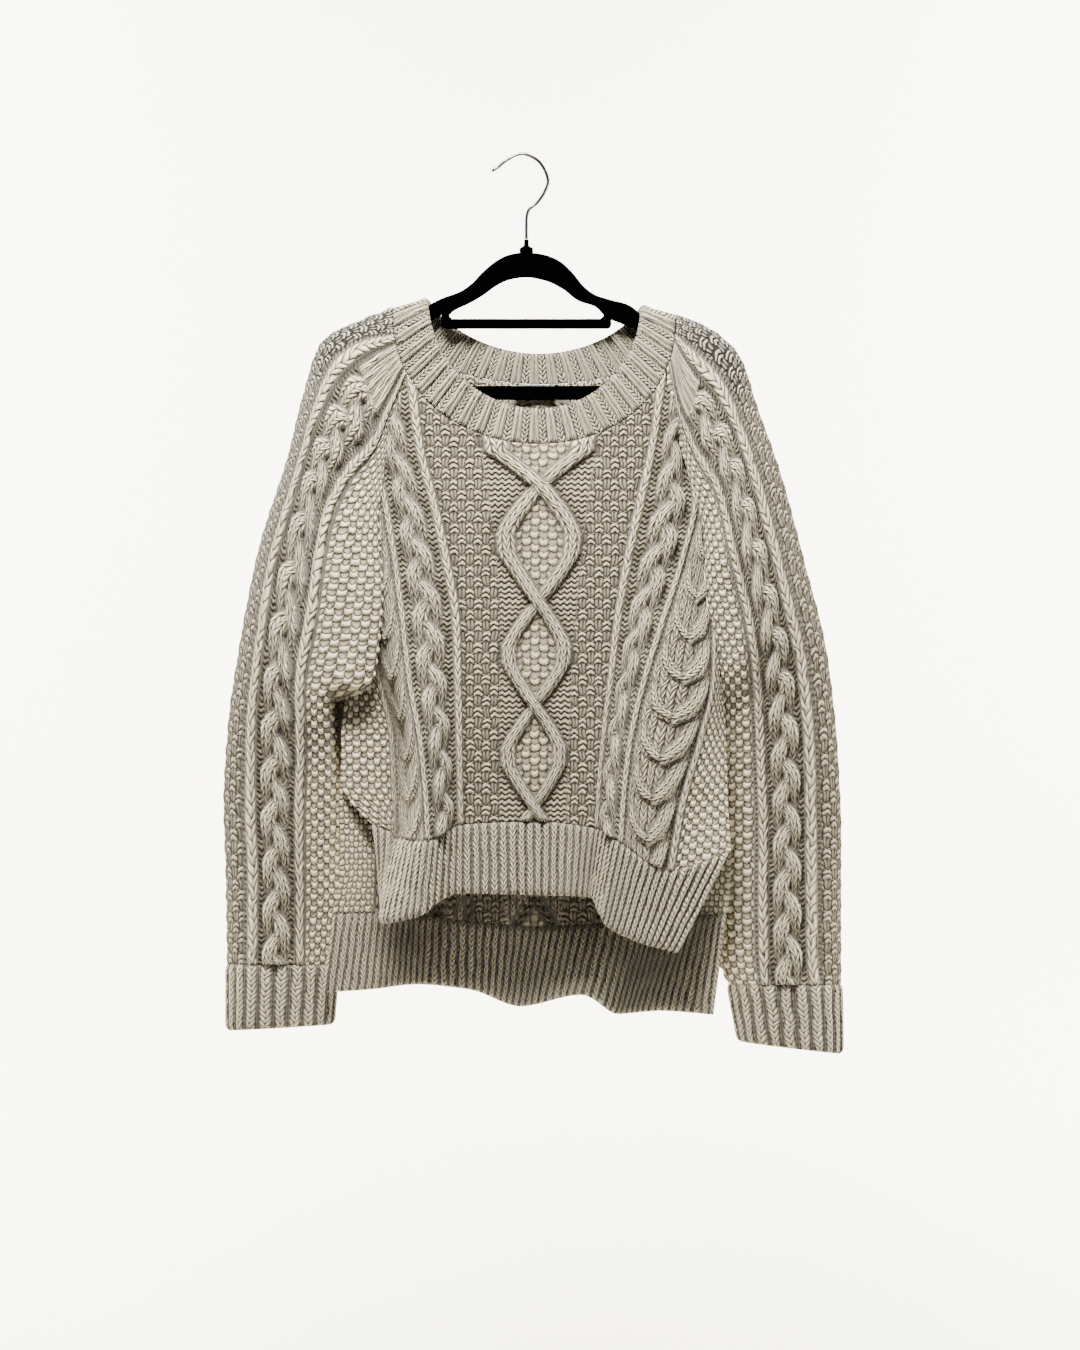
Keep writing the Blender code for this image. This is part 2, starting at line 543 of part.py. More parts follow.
def neckband(finish):
    angle = np.linspace(0, 2 * math.pi, 2 * NECK_RIBS, endpoint=False)
    top, low = neck_curve("edge", angle), neck_curve("seam", angle)
    base = top + (low - top) * np.linspace(0, 1, 3)[:, None, None]
    raised = np.zeros(base.shape[:2])
    raised[:-1, 1::2] = NECK_RIB_HEIGHT
    return knitted_wall("neckband", base, raised, finish, 1, row_step=1, column_step=2,
                        round_about=True, wall=NECK_WALL)


# --- the hanger --------------------------------------------------------------------------------
def closed_spline(curve, outline):
    spline = curve.splines.new("POLY")
    spline.points.add(len(outline) - 1)
    for point, (x, z) in zip(spline.points, outline):
        point.co = (x * MM, z * MM, 0, 1)
    spline.use_cyclic_u = True


def hanger_body(finish):
    """The plate: one flat outline with the window above the tie bar and the one below it."""
    curve = bpy.data.curves.new("hanger_body", "CURVE")
    curve.dimensions = "2D"
    curve.fill_mode = "BOTH"
    curve.extrude = PLATE / 2 * MM
    foot_right = ((198, -237), (BAR_END, BAR_FOOT))
    foot_left = ((-BAR_END, BAR_FOOT), (-201, -237))
    closed_spline(curve, PLATE_TOP_LEFT + PLATE_TOP_RIGHT + foot_right + foot_left)
    closed_spline(curve, ARCH_LOWER + ((POST_IN, TIE_TOP), (-POST_IN, TIE_TOP)))
    round_off = 4
    closed_spline(curve, ARM_LOWER_LEFT + ((1 - BAR_END, BAR_TOP), (BAR_END - round_off, BAR_TOP))
                  + ARM_LOWER_RIGHT
                  + ((POST_OUT, TIE_FOOT + round_off), (POST_OUT - round_off, TIE_FOOT),
                     (round_off - POST_OUT, TIE_FOOT), (-POST_OUT, TIE_FOOT + round_off)))
    made = add_object("hanger_body", curve, finish)
    made.rotation_euler = (math.pi / 2, 0, 0)
    return made


def hanger_hook(finish):
    """The bent wire, read from a smooth curve through its own bends."""
    points = np.array(HOOK)
    way = np.concatenate([[0], np.cumsum(np.linalg.norm(np.diff(points, axis=0), axis=1))])
    at = np.linspace(0, way[-1], 40)
    x, z = (smooth(way, points[:, k], at) for k in (0, 1))
    curve = bpy.data.curves.new("hanger_hook", "CURVE")
    curve.dimensions = "3D"
    curve.bevel_depth = WIRE / 2 * MM
    curve.bevel_resolution = 2
    curve.use_fill_caps = True
    spline = curve.splines.new("POLY")
    spline.points.add(len(at) - 1)
    for point, px, pz in zip(spline.points, x, z):
        point.co = (px * MM, 0, pz * MM, 1)
    return add_object("hanger_hook", curve, finish)


def hanger_ferrule(finish):
    mesh = bpy.data.meshes.new("hanger_ferrule")
    points = [(x * MM, 0, z * MM) for x, z in FERRULE]
    mesh.from_pydata(points, [(i, i + 1) for i in range(len(points) - 1)], [])
    made = add_object("hanger_ferrule", mesh, finish)
    turned = made.modifiers.new("turned", "SCREW")
    turned.steps = turned.render_steps = 16
    turned.use_merge_vertices = True
    turned.merge_threshold = 0.00005
    return made


def neck_label(finish):
    bpy.ops.mesh.primitive_cube_add(size=1)
    made = bpy.context.object
    made.name = made.data.name = "neck_label"
    for owner in tuple(made.users_collection):
        owner.objects.unlink(made)
    parts.objects.link(made)
    made.parent = hanger_axis
    size = (LABEL["width"] * MM, LABEL["thick"] * MM, LABEL["height"] * MM)
    for corner in made.data.vertices:
        corner.co = [c * s for c, s in zip(corner.co, size)]
    made.location = (LABEL["x"] * MM, LABEL["y"] * MM, (LABEL["top"] - LABEL["height"] / 2) * MM)
    made.data.materials.append(finish)
    return made


# --- build -------------------------------------------------------------------------------------
for old in tuple(bpy.data.objects):
    bpy.data.objects.remove(old)

parts = bpy.data.collections.new("cable_knit_sweater_on_hanger")
bpy.context.scene.collection.children.link(parts)
hanger_axis = bpy.data.objects.new("hanger_axis", None)
hanger_axis.location = [v * MM for v in AXIS_FROM_APEX]
parts.objects.link(hanger_axis)

knit = material("oatmeal_knit", (0.60, 0.54, 0.44), 0.95)
velvet = material("black_velvet", (0.006, 0.006, 0.007), 0.9)
steel = material("polished_steel", (0.6, 0.6, 0.6), 0.25, 1.0)
white = material("white_label", (0.85, 0.85, 0.83), 0.8)

hanger_body(velvet)
hanger_hook(steel)
hanger_ferrule(velvet)
neck_label(white)
neckband(knit)

panel("front_panel", FRONT, 31, knit)
panel("back_panel", BACK, 25, knit)
hem_rib("front_hem_rib", FRONT, FRONT_HEM, knit)
hem_rib("back_hem_rib", BACK, BACK_HEM, knit)
for side, hand in ((-1, "left"), (1, "right")):
    sleeve("sleeve_" + hand, side, knit)
    cuff("cuff_" + hand, side, knit)
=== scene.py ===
# %% [markdown]
# # A cable knit sweater on its hanger
# This lesson dresses a plain solid model of a sweater. The solids give the places and sizes, and
# each cell below makes one knitted piece over them, stitch by stitch: a fine grid of points for
# the cloth, cables raised out of it in the mesh, and single stitches in the material's bump.

import math

import bpy
import numpy as np
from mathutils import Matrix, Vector


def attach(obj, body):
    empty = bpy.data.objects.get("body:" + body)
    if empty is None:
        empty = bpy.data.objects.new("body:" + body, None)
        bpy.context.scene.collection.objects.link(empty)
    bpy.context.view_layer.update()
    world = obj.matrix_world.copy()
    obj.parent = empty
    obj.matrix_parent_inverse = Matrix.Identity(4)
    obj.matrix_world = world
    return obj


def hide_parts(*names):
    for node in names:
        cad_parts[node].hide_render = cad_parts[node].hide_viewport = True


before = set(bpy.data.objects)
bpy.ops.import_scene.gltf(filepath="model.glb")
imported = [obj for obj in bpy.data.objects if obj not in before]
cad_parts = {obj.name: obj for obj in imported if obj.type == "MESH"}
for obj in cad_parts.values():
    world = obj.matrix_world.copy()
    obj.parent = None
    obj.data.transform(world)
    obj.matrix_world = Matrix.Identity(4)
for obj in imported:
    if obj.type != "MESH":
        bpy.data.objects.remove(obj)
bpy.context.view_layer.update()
print("nodes:", ", ".join(sorted(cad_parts)))

# %% [markdown]
# ## Sizes of the garment
# A garment is described best on its flat cloth: a place across it in millimetres from the centre,
# and a height. Tables say where each vertical line of the cloth hangs at a few heights, and how
# far it stands in front of the hanger, which is what its folds are. The hanger's centre line is
# the tables' zero, and the origin of the scene is the inside of the hook's top.

# %% Driving sizes, in millimetres
MM = 0.001
AXIS_FROM_APEX = np.array((5.0, 0.0, -1.3))
STITCH, ROW = 5.0, 4.7                 # one knit stitch across and one row down
CLOTH, NECK_WALL = 4.0, 3.0
SEAM_GAP, NECK_GAP, RAGLAN_GAP, UNDERARM_GAP = 0.05, 0.5, 0.5, 0.6
UPPER_END, UNDERARM = -538, -563
LINE_AT = (-290, -227, -145, -87, 0, 87, 145, 227, 290)       # the sides, the ribs, the centre
RIB_AT = (87, 145, 227)
HALF_GAP = np.array([0, UNDERARM_GAP / 2, 0])
TUCK = {"in": 36, "across": (215, 288), "down": (625, 690)}   # at the top of the left slit
NECK_CENTRE = {"x": 8, "edge_z": -144.5, "seam_z": -154, "tilt": 3.5, "flare": 0.35}
NECK = {"edge": {"half_width": 106, "front_drop": 108, "back_drop": 51, "front": 25, "back": 16,
                 "fullness": 1.0, "back_fullness": 1.5},
        "seam": {"half_width": 141, "front_drop": 134, "back_drop": 72, "front": 26, "back": 20,
                 "fullness": 0.85, "back_fullness": 0.85}}
SLEEVE_CORNER = {-1: 0.46, 1: 0.33}

# %% Where the front and the back hang: height, then one number for each line of the cloth
def numbers(wide, text):
    """A table written as plain text, wide numbers to a row."""
    return np.array(text.split(), float).reshape(-1, wide)


# A face has a table of places across and one of how far out each line stands, the heights of its
# raglan seam at RAGLAN_AT and of its end at each line, its hem's end at each line (place across,
# height, how far out), the heights at which its ropes cross, and its lines of points.
RAGLAN_AT = (92, 118, 145, 187, 227, 290)
FRONT = {
    "forward": 1, "raglan_z": (-226, -268, -333, -408, -475, -540),
    "end_z": (-667, -681, -682, -667, -664, -671, -684, -712, -693),
    "hem": ((-142, -758, 14), (-145, -764, 44), (-105, -756, 66), (-66, -735, 38), (8, -737, 28),
            (62, -739, 34), (76, -763, 70), (116, -784, 56), (151, -794, 40)),
    "crossings": (-330, -446, -549, -650, -752),
    "columns": (0, 9, 18, 27, 36, 45, 64, 81, 87, 93, 106.5, 116, 125.5, 139, 145, 151,
                160, 173, 186, 199, 212, 221, 227, 233, 260, 290),
    "x": numbers(10, """
-180 -250 -208 -166 -118 14 138 184 228 270
-228 -244 -204 -160 -114 14 134 178 222 264
-293 -234 -196 -150 -106 14 125 162 214 249
-343 -226 -190 -141 -93 14 114 168 209 239
-403 -214 -174 -131 -80 14 101 155 196 224
-463 -200 -159 -123 -70 11 91 136 187 209
-523 -180 -147 -116 -68 9 84 117 185 196
-583 -185 -134 -105 -67 8 77 103 172 199
-643 -184 -132 -99 -66 8 72 96 155 201
-712 -170 -134 -96 -64 8 69 92 142 205"""),
    "depth": numbers(10, """
-180 7 8 12 18 25 18 12 8 7
-228 8 9 14 20 26 20 14 9 8
-293 8 9 15 22 27 22 15 9 8
-343 7 9 16 24 31 24 17 9 7
-403 5 9 22 28 28 28 24 14 7
-463 3 9 32 30 26 29 36 26 8
-523 2 8 42 32 25 31 44 33 9
-583 2 6 51 32 24 32 52 37 12
-643 2 6 55 32 23 33 58 41 14
-712 4 8 58 34 25 35 64 45 18""")}
BACK = {
    "forward": -1, "raglan_z": (-191, -238, -310, -398, -470, -540),
    "end_z": (-757, -757, -760, -765, -771, -768, -765, -760, -756),
    "hem": ((-206, -836, 7), (-160, -834, 26), (-108, -830, 43), (-60, -834, 30), (-5, -852, 41),
            (55, -840, 30), (92, -860, 45), (140, -856, 28), (188, -858, 6)),
    "crossings": (-232, -330, -432, -534, -636, -738, -840),
    "columns": (0, 13, 27, 41, 64, 81, 87, 93, 106.5, 125.5, 139, 145, 151,
                166, 186, 206, 221, 227, 233, 260, 290),
    "x": numbers(10, """
-150 -250 -208 -172 -118 14 138 186 228 270
-191 -244 -204 -165 -114 14 134 182 222 264
-260 -236 -198 -155 -108 14 130 172 216 250
-340 -226 -192 -145 -95 14 116 162 208 238
-440 -206 -168 -128 -76 12 98 142 190 216
-540 -181 -150 -112 -66 9 84 126 172 197
-640 -187 -150 -108 -62 8 76 122 168 201
-700 -186 -150 -106 -60 8 74 120 168 204
-775 -197 -152 -104 -58 8 72 118 166 200"""),
    "depth": numbers(10, """
-150 8 8 9 10 16 10 9 8 8
-191 9 10 12 16 20 16 12 10 9
-260 9 10 14 17 22 17 14 10 9
-340 8 11 16 20 24 20 16 11 8
-440 8 14 21 25 28 25 21 14 6
-540 7 16 27 29 34 30 27 18 2
-640 7 19 34 28 37 30 35 21 -4
-700 7 20 37 29 37 31 38 22 -6
-775 8 23 41 30 38 32 41 25 0""")}

# %% Where the sleeves hang: one row for each station down the arm, -1 for the left one
UPPER_COLUMNS = ("front_z", "back_z", "top_x", "top_z", "top_y", "swell_f", "swell_b", "turn",
                 "inner_rib", "outer_rib")
UPPER = {-1: numbers(10, """
-263 -236 -169 -165 0 20 18 100 0.06 0.74
-313 -295 -204 -185 0 20 18 105 0.17 0.78
-373 -362 -223 -238 2 20 18 115 0.4 0.84
-443 -437 -238 -298 4 20 18 130 0.55 0.88
-516 -514 -268 -393 8 20 17 155 0.46 0.87"""), 1: numbers(10, """
-263 -236 176 -168 0 20 18 100 0.06 0.62
-313 -295 212 -198 0 20 18 105 0.15 0.66
-373 -362 231 -251 2 20 18 115 0.3 0.72
-443 -437 254 -316 4 20 18 130 0.36 0.74
-516 -514 279 -408 8 19 16 155 0.36 0.74""")}
LOWER_COLUMNS = ("inner_x", "inner_z", "inner_y", "top_x", "top_z", "top_y", "swell_f",
                 "swell_b", "turn", "inner_rib", "outer_rib")
LOWER = {-1: numbers(11, """
-182 -563 9 -288 -493 14 20 20 180 0.41 0.82
-181 -606 21 -299 -567 20 18 20 180 0.37 0.8
-181 -673 28 -304 -648 26 17 20 180 0.38 0.77
-182 -723 32 -302 -723 30 17 19 180 0.38 0.76
-190 -809 34 -301 -809 34 17 17 180 0.34 0.76"""), 1: numbers(11, """
196 -565 12 301 -497 14 18 18 180 0.34 0.75
194 -613 24 312 -593 20 18 18 180 0.35 0.75
192 -673 29 316 -679 26 18 18 180 0.37 0.74
190 -743 30 316 -743 28 18 18 180 0.38 0.75
193 -803 29 316 -803 28 17 17 180 0.37 0.75
203 -829 28 316 -829 28 17 17 180 0.33 0.75""")}
CUFF_END = {-1: (-195, -870, 34, -301, -876, 34, 14, 14), 1: (214, -887, 28, 317, -899, 28, 14, 14)}
SLEEVE_PLACES = (0, 1, 2, 3)
SLEEVE_AROUND = {-1: (0, 76, 126, 168), 1: (0, 56, 106, 148)}   # mm of cloth out to each place
SIDES = ((-1, "left"), (1, "right"))
print("lines:", len(LINE_AT), "sleeve stations:", [len(UPPER[s]) + len(LOWER[s]) for s, _ in SIDES])

# %% [markdown]
# ## Curves between the table rows
# A spline that overshoots would make folds nobody asked for. A monotone curve passes through every
# number and never swings past it, so the tables say exactly where the cloth is.

# %% A smooth curve through a column of numbers
def smooth(knots, values, at):
    """A curve through the values at the knots that never overshoots them. values may hold one
    column for each point of at."""
    knots, at = np.asarray(knots, float), np.atleast_1d(np.asarray(at, float))
    values = np.asarray(values, float)
    if values.ndim == 1:
        values = np.repeat(values[:, None], at.size, axis=1)
    if knots[0] > knots[-1]:
        knots, values = knots[::-1], values[::-1]
    gap = np.diff(knots)[:, None]
    rise = np.diff(values, axis=0) / gap
    slope = np.vstack([rise[:1], np.zeros_like(rise[1:]), rise[-1:]])
    product, total = rise[:-1] * rise[1:], rise[:-1] + rise[1:]
    same_way = product > 0
    slope[1:-1][same_way] = 2 * product[same_way] / total[same_way]
    i = np.clip(np.searchsorted(knots, at) - 1, 0, len(knots) - 2)
    n = np.arange(at.size)
    h = gap[i, 0]
    t = np.clip((at - knots[i]) / h, 0, 1)
    start, end = (1 + 2 * t) * (1 - t) ** 2, t * t * (3 - 2 * t)
    return (start * values[i, n] + end * values[i + 1, n]
            + h * t * (1 - t) ** 2 * slope[i, n] - h * t * t * (1 - t) * slope[i + 1, n])


def dome(distance, half):
    """A rounded ridge: 1 on its line, 0 from half a width out."""
    return np.sqrt(np.clip(1 - (np.asarray(distance) / half) ** 2, 0, 1))


def step_up(x, low, high):
    """0 below low, 1 above high, and smooth between."""
    t = np.clip((np.asarray(x, float) - low) / (high - low), 0, 1)
    return t * t * (3 - 2 * t)


def past(x, line):
    """0 before a line of the cloth and 1 past it."""
    return step_up(x, line - 1, line + 1)


# %% [markdown]
# ## The cloth in space
# These functions answer one question: where is this place of the cloth? The neck is two half
# ellipses, the front and back hang from the tables, and a sleeve is a row of stations joined by
# curves. Everything else in the lesson asks them.

# %% Neck, front and back
def neck_curve(which, angle):
    """A point of the neck's free edge or seam edge. The angle runs from the right shoulder over
    the front (0 to pi) to the left one, and on round the back."""
    size = NECK[which]
    turn = np.asarray(angle, float)
    front = np.sin(turn) > 0
    lift = np.abs(np.sin(turn))
    fall = lift ** np.where(front, size["fullness"], size["back_fullness"])
    drop = np.where(front, size["front_drop"], size["back_drop"])
    depth = np.where(front, -size["front"], size["back"])
    x = NECK_CENTRE["x"] + size["half_width"] * np.cos(turn)
    z = NECK_CENTRE[which + "_z"] - NECK_CENTRE["tilt"] * np.cos(turn) - drop * fall
    return np.stack([x, depth * lift ** NECK_CENTRE["flare"], z], axis=-1)


def hang(face, u, z):
    """Where the cloth point u of the front or the back hangs at height z."""
    x, depth = (smooth(LINE_AT, [smooth(table[:, 0], line, z) for line in table.T[1:]], u)
                for table in (face["x"], face["depth"]))
    if face["forward"] > 0:
        x = x + TUCK["in"] * step_up(-u, *TUCK["across"]) * step_up(-z, *TUCK["down"])
    return np.stack([x, -face["forward"] * depth, z], axis=-1)


def top_edge(face, u):
    """The height at which each cloth point starts: the neck seam, or the raglan seam."""
    drop = NECK["seam"]["front_drop" if face["forward"] > 0 else "back_drop"]
    z = np.full(u.shape, -260.0)                  # a first guess, which each round betters
    for _ in range(8):
        x = hang(face, u, z)[:, 0]
        across = np.clip((x - NECK_CENTRE["x"]) / NECK["seam"]["half_width"], -1, 1)
        fall = (1 - across ** 2) ** (NECK["seam"]["fullness"] / 2)
        z = NECK_CENTRE["seam_z"] - NECK_CENTRE["tilt"] * across - drop * fall - NECK_GAP
    sewn = smooth(RAGLAN_AT, face["raglan_z"], np.abs(u))
    return np.where(np.abs(u) < RAGLAN_AT[0], z, np.minimum(sewn, z))


def raglan_line(face, side, z):
    """The sleeve's side of a raglan seam at the heights z, just outside the panel's edge."""
    u = side * np.array([c for c in face["columns"] if c > RAGLAN_AT[0]], float)
    edge = hang(face, u, top_edge(face, u))
    x, y = (np.interp(-np.asarray(z, float), -edge[:, 2], edge[:, k]) for k in (0, 1))
    return np.stack([x + side * RAGLAN_GAP, y, np.broadcast_to(z, x.shape)], axis=-1)


# %% Sleeves
def place_of(columns):
    """Columns count 0 at the inner line, 1 and 2 on the ribs, 3 on the outer line, and on to 6 at
    the inner line behind. The places behind are the same as in front."""
    return np.minimum(columns, 6 - columns)


def sleeve_section(s, inner_front, inner_back, columns):
    """One station of a sleeve: s says where it hangs, how far it swells and how much it is
    folded."""
    behind, place = columns > 3, place_of(columns)
    way = np.where(place < 1, 1 - s["inner_rib"] * np.clip(place, 0, 1) ** 1.5,
                   1 - np.interp(place, (1, 2), (s["inner_rib"], s["outer_rib"])))
    way = np.where(place > 2, (1 - s["outer_rib"]) * (3 - place) ** 2, way)
    turn = math.radians(s["turn"])
    cosine = 1 - way * (1 - math.cos(turn))
    round_out = np.sqrt(np.clip(1 - cosine ** 2, 0, 1)) - math.sin(turn) * way
    inner = np.where(behind[:, None], inner_back, inner_front)
    outer = np.array([s["top_x"], s["top_y"], s["top_z"]])
    points = outer + (inner - outer) * way[:, None]
    points[:, 1] += np.where(behind, s["swell_b"], -s["swell_f"]) * round_out
    return points


def neck_row(side, columns):
    """The sleeve's first row, which follows the neckband from the front corner to the back."""
    corner = math.asin(SLEEVE_CORNER[side])
    share = np.interp(place_of(columns), SLEEVE_PLACES, (0, 0.06, 0.62, 1))
    turn = corner * np.where(columns > 3, share - 1, 1 - share)
    angle = turn if side > 0 else math.pi - turn
    point = neck_curve("seam", angle)
    centre = np.array([NECK_CENTRE["x"], 0, NECK_CENTRE["seam_z"]])
    away = point - centre
    away[:, 1] = 0
    return point + away / np.linalg.norm(away, axis=1, keepdims=True) * NECK_GAP


def sleeve_sections(side, columns):
    """Every station of a sleeve, from the neck seam to the cuff."""
    sections = [neck_row(side, columns)]
    for row in UPPER[side]:
        s = dict(zip(UPPER_COLUMNS, row))
        inner = [raglan_line(FRONT, side, s["front_z"]), raglan_line(BACK, side, s["back_z"])]
        sections.append(sleeve_section(s, *inner, columns))
    for row in LOWER[side]:
        s = dict(zip(LOWER_COLUMNS, row))
        inner = np.array([s["inner_x"], s["inner_y"], s["inner_z"]])
        sections.append(sleeve_section(s, inner - HALF_GAP, inner + HALF_GAP, columns))
    return np.array(sections)


def sleeve_base(side, columns, rows):
    """The sleeve's surface, rows spread evenly over its stations, and the way down to each."""
    sections = sleeve_sections(side, columns)
    length = np.linalg.norm(np.diff(sections[:, len(columns) // 2], axis=0), axis=1)
    inner = np.linalg.norm(np.diff(sections[:, 0], axis=0), axis=1)
    reach = np.concatenate([[0], np.cumsum((length + inner) / 2)])
    at = reach[-1] * np.linspace(0, 1, rows)
    base = np.stack([np.stack([smooth(reach, sections[:, c, axis], at)
                               for c in range(len(columns))], axis=1) for axis in range(3)],
                    axis=-1)
    if side < 0:
        base = underarm_fold(base, columns)
    for face, column in ((FRONT, 0), (BACK, -1)):
        sewn = base[:, column, 2] > UPPER_END
        base[sewn, column] = raglan_line(face, side, base[sewn, column, 2])
    tube = base[:, 0, 2] < UNDERARM
    middle = (base[tube, 0] + base[tube, -1]) / 2
    base[tube, 0], base[tube, -1] = middle - HALF_GAP, middle + HALF_GAP
    return base, at


# %% The bulge under the left arm
# The left sleeve's spare cloth hangs as a soft bulge over the edge of the front. Its right part
# ends in a lip above a hollow, and its left part runs on down as a roll. Each form has its reach
# in mm, and then its share of that at some columns across the sleeve and at some heights in mm.
FOLDS = {
    "bulge": (24, ((0, 0.12, 0.45, 0.75, 6), (0, 0.85, 1, 0, 0)),
              ((-540, -516, -440, -320), (0, 1, 0.8, 0))),
    "roll": (20, ((0.35, 0.66, 1.0, 1.4, 6), (0, 1, 0.8, 0, 0)),
             ((-760, -620, -530, -440, -320), (0, 0.55, 0.95, 0.85, 0))),
    "sideways": (19, ((0, 0.12, 0.4, 0.9, 6), (0, 1, 0.5, 0, 0)),
                 ((-544, -516, -440, -350), (0, 1, 0.7, 0))),
    "hollow": (19, ((0, 0.15, 0.36, 0.55, 6), (0.1, 0.5, 1, 0, 0)),
               ((-720, -600, -548, -524), (0, 0.8, 1, 0))),
    "overhang": (11, ((0, 0.3, 0.7, 1.15, 6), (0.6, 1, 0.4, 0, 0)),
                 ((-545, -514, -470), (0, 1, 0))),
}


def underarm_fold(base, columns):
    """The left sleeve with its spare cloth pushed into folds."""
    z = base[..., 2]
    push = {}
    for name, (reach, (places, across), (heights, down)) in FOLDS.items():
        falling = smooth(heights, down, z.ravel()).reshape(z.shape)
        push[name] = reach * smooth(places, across, columns) * falling
    forward = np.maximum(push["bulge"], push["roll"])
    return base + np.stack([push["sideways"], push["hollow"] - forward, -push["overhang"]], axis=-1)


print("sleeve at the elbow:", sleeve_sections(1, np.array([0.0, 3.0]))[7].round(0).tolist())

# %% [markdown]
# ## Stitches on the cloth
# A knitter's chart tells which stitch goes where, and this is one as functions. Each place of the
# cloth gets three things: how far it is raised, its stitch coordinates (one unit is one stitch
# across or one row down, and they turn with a cable's strand), and which stitch it shows. Knit is
# the smooth V and purl a row of small arches. Moss and seed stitch are small grains in a
# chequerboard.

# %% The chart's record for a grid of places
KNIT, PURL, MOSS, SEED = (0, 0, 0), (1, 0, 0), (0, 1, 0), (0, 0, 1)
GAUGE = {KNIT: (STITCH, ROW), PURL: (6.9, 5.4), MOSS: (8.0, 5.4), SEED: (7.8, 5.9)}
ROPE_GAUGE, PLAIN_GAUGE, RIB_GAUGE, CORD_GAUGE = (7.5, 8.0), (10.5, 7.0), (10.4, 11.0), (6.4, 40.0)
BULGE_GAUGE, DIAMOND_GAUGE = (8.4, 6.2), (8.7, 6.6)


class Chart:
    """Relief in mm, stitch coordinates and stitch kinds for a grid of cloth places. open is how
    far the stitches are pulled apart, from 0 to 1."""

    def __init__(self, across, down, ground=PURL):
        self.across, self.down = across, np.broadcast_to(down, across.shape)
        self.relief, self.open = np.zeros(across.shape), np.zeros(across.shape)
        self.kind = np.zeros(across.shape + (3,))
        self.stitch = np.zeros(across.shape + (2,))
        self.ground(np.ones(across.shape), ground)

    def ground(self, where, kind, height=0.0, gauge=None, along=None):
        """Lay a kind of stitch, in its own gauge, over a region; where is 0 to 1. The stitches
        are counted across and down the chart, or along two other measures in mm."""
        wide, tall = gauge or GAUGE[kind]
        across, down = along or (self.across, self.down)
        counted = np.stack([across / wide + 0.5, down / tall], axis=-1)
        self.stitch = np.where(where[..., None] > 0.5, counted, self.stitch)
        self.kind += (np.array(kind, float) - self.kind) * where[..., None]
        self.relief += (height - self.relief) * where

    def cover(self, body, top, across, down):
        """Lay knit stitches where there is a body and its top is above what is there. The
        stitches are counted across and down it."""
        on = (body > 0) & (top > self.relief)
        self.relief = np.where(on, top, self.relief)
        self.kind[on] = KNIT
        for k, counted in enumerate((across, down)):
            self.stitch[..., k] = np.where(on, counted, self.stitch[..., k])
        return on

    def strand(self, offset, half, height, down, lift=0.0, gauge=ROPE_GAUGE):
        """Raise a strand of knit stitches whose middle lies offset away; its stitches follow."""
        body = dome(offset, half)
        on = self.cover(body, lift + height * body, offset / gauge[0] + 0.5, down / gauge[1])
        self.open[on] = 0


def grains(chart):
    """Raise the single grains of moss and seed stitch, which are large enough for the mesh. They
    lie like the squares of a chequerboard, a moss square two rows tall."""
    for k, rows, height in ((1, 2, -0.8), (2, 1, 1.0)):
        s, r = chart.stitch[..., 0], chart.stitch[..., 1] / rows
        square = np.sin(math.pi * s) * np.sin(math.pi * r)
        chart.relief += height * chart.kind[..., k] * np.sign(square) * np.abs(square) ** 0.7


# %% Plait and horseshoe
def plait(chart, offset, down, half=17, period=42.0, height=5.0):
    """A plait of three strands: each swings from side to side and is on top as it leaves the
    middle, so that its lobes lean outwards on both sides by turns."""
    for k in range(3):
        turn = 2 * math.pi * (down / (3 * period) + k / 3)
        lobe = np.sin(2 * turn + 0.4)
        lean = 0.5 * half * np.tanh(2.0 * np.sin(turn))
        chart.strand(offset - lean, half * (0.45 + 0.08 * lobe), height * (0.8 + 0.4 * lobe),
                     down, lift=0.5 + 2.1 * lobe)


def horseshoe(chart, offset, down, half=33, period=40.0):
    """A stocking-stitch ground with one thick U in each period, whose arms open fast, climb
    outside the next U and sink under it. The outer arm of each is the thicker one."""
    inset, thick, height = (np.where(offset > 0, outer, inner)
                            for outer, inner in ((8.5, 5.0), (9.6, 6.0), (5.6, 4.0)))
    reach, opening, side, end = half - inset, 11.0, np.abs(offset), 1.05 * period
    chart.ground(step_up(-side, -half - 1, -half + 2), KNIT, 1.0, PLAIN_GAUGE)
    for turn in (1, 0, -1):
        climb = np.mod(-down, period) + turn * period
        slope = np.exp(-np.maximum(climb, 0) / opening)
        out = reach * (1 - slope) + reach / opening * np.minimum(climb, 0)
        away = (side - out) / np.sqrt(1 + (reach / opening * slope) ** 2)
        strength = height * step_up(-climb, -end, -0.4 * period)
        strength *= 1 - 0.6 * dome(side, 2.4) * (climb < 8)      # a dimple at the foot of each U
        body = dome(away, thick) * ((climb > -12) & (climb < end))
        chart.cover(body, 0.6 + strength * body, away / ROPE_GAUGE[0] + 0.5,
                    -(climb + 0.9 * side) / ROPE_GAUGE[1])


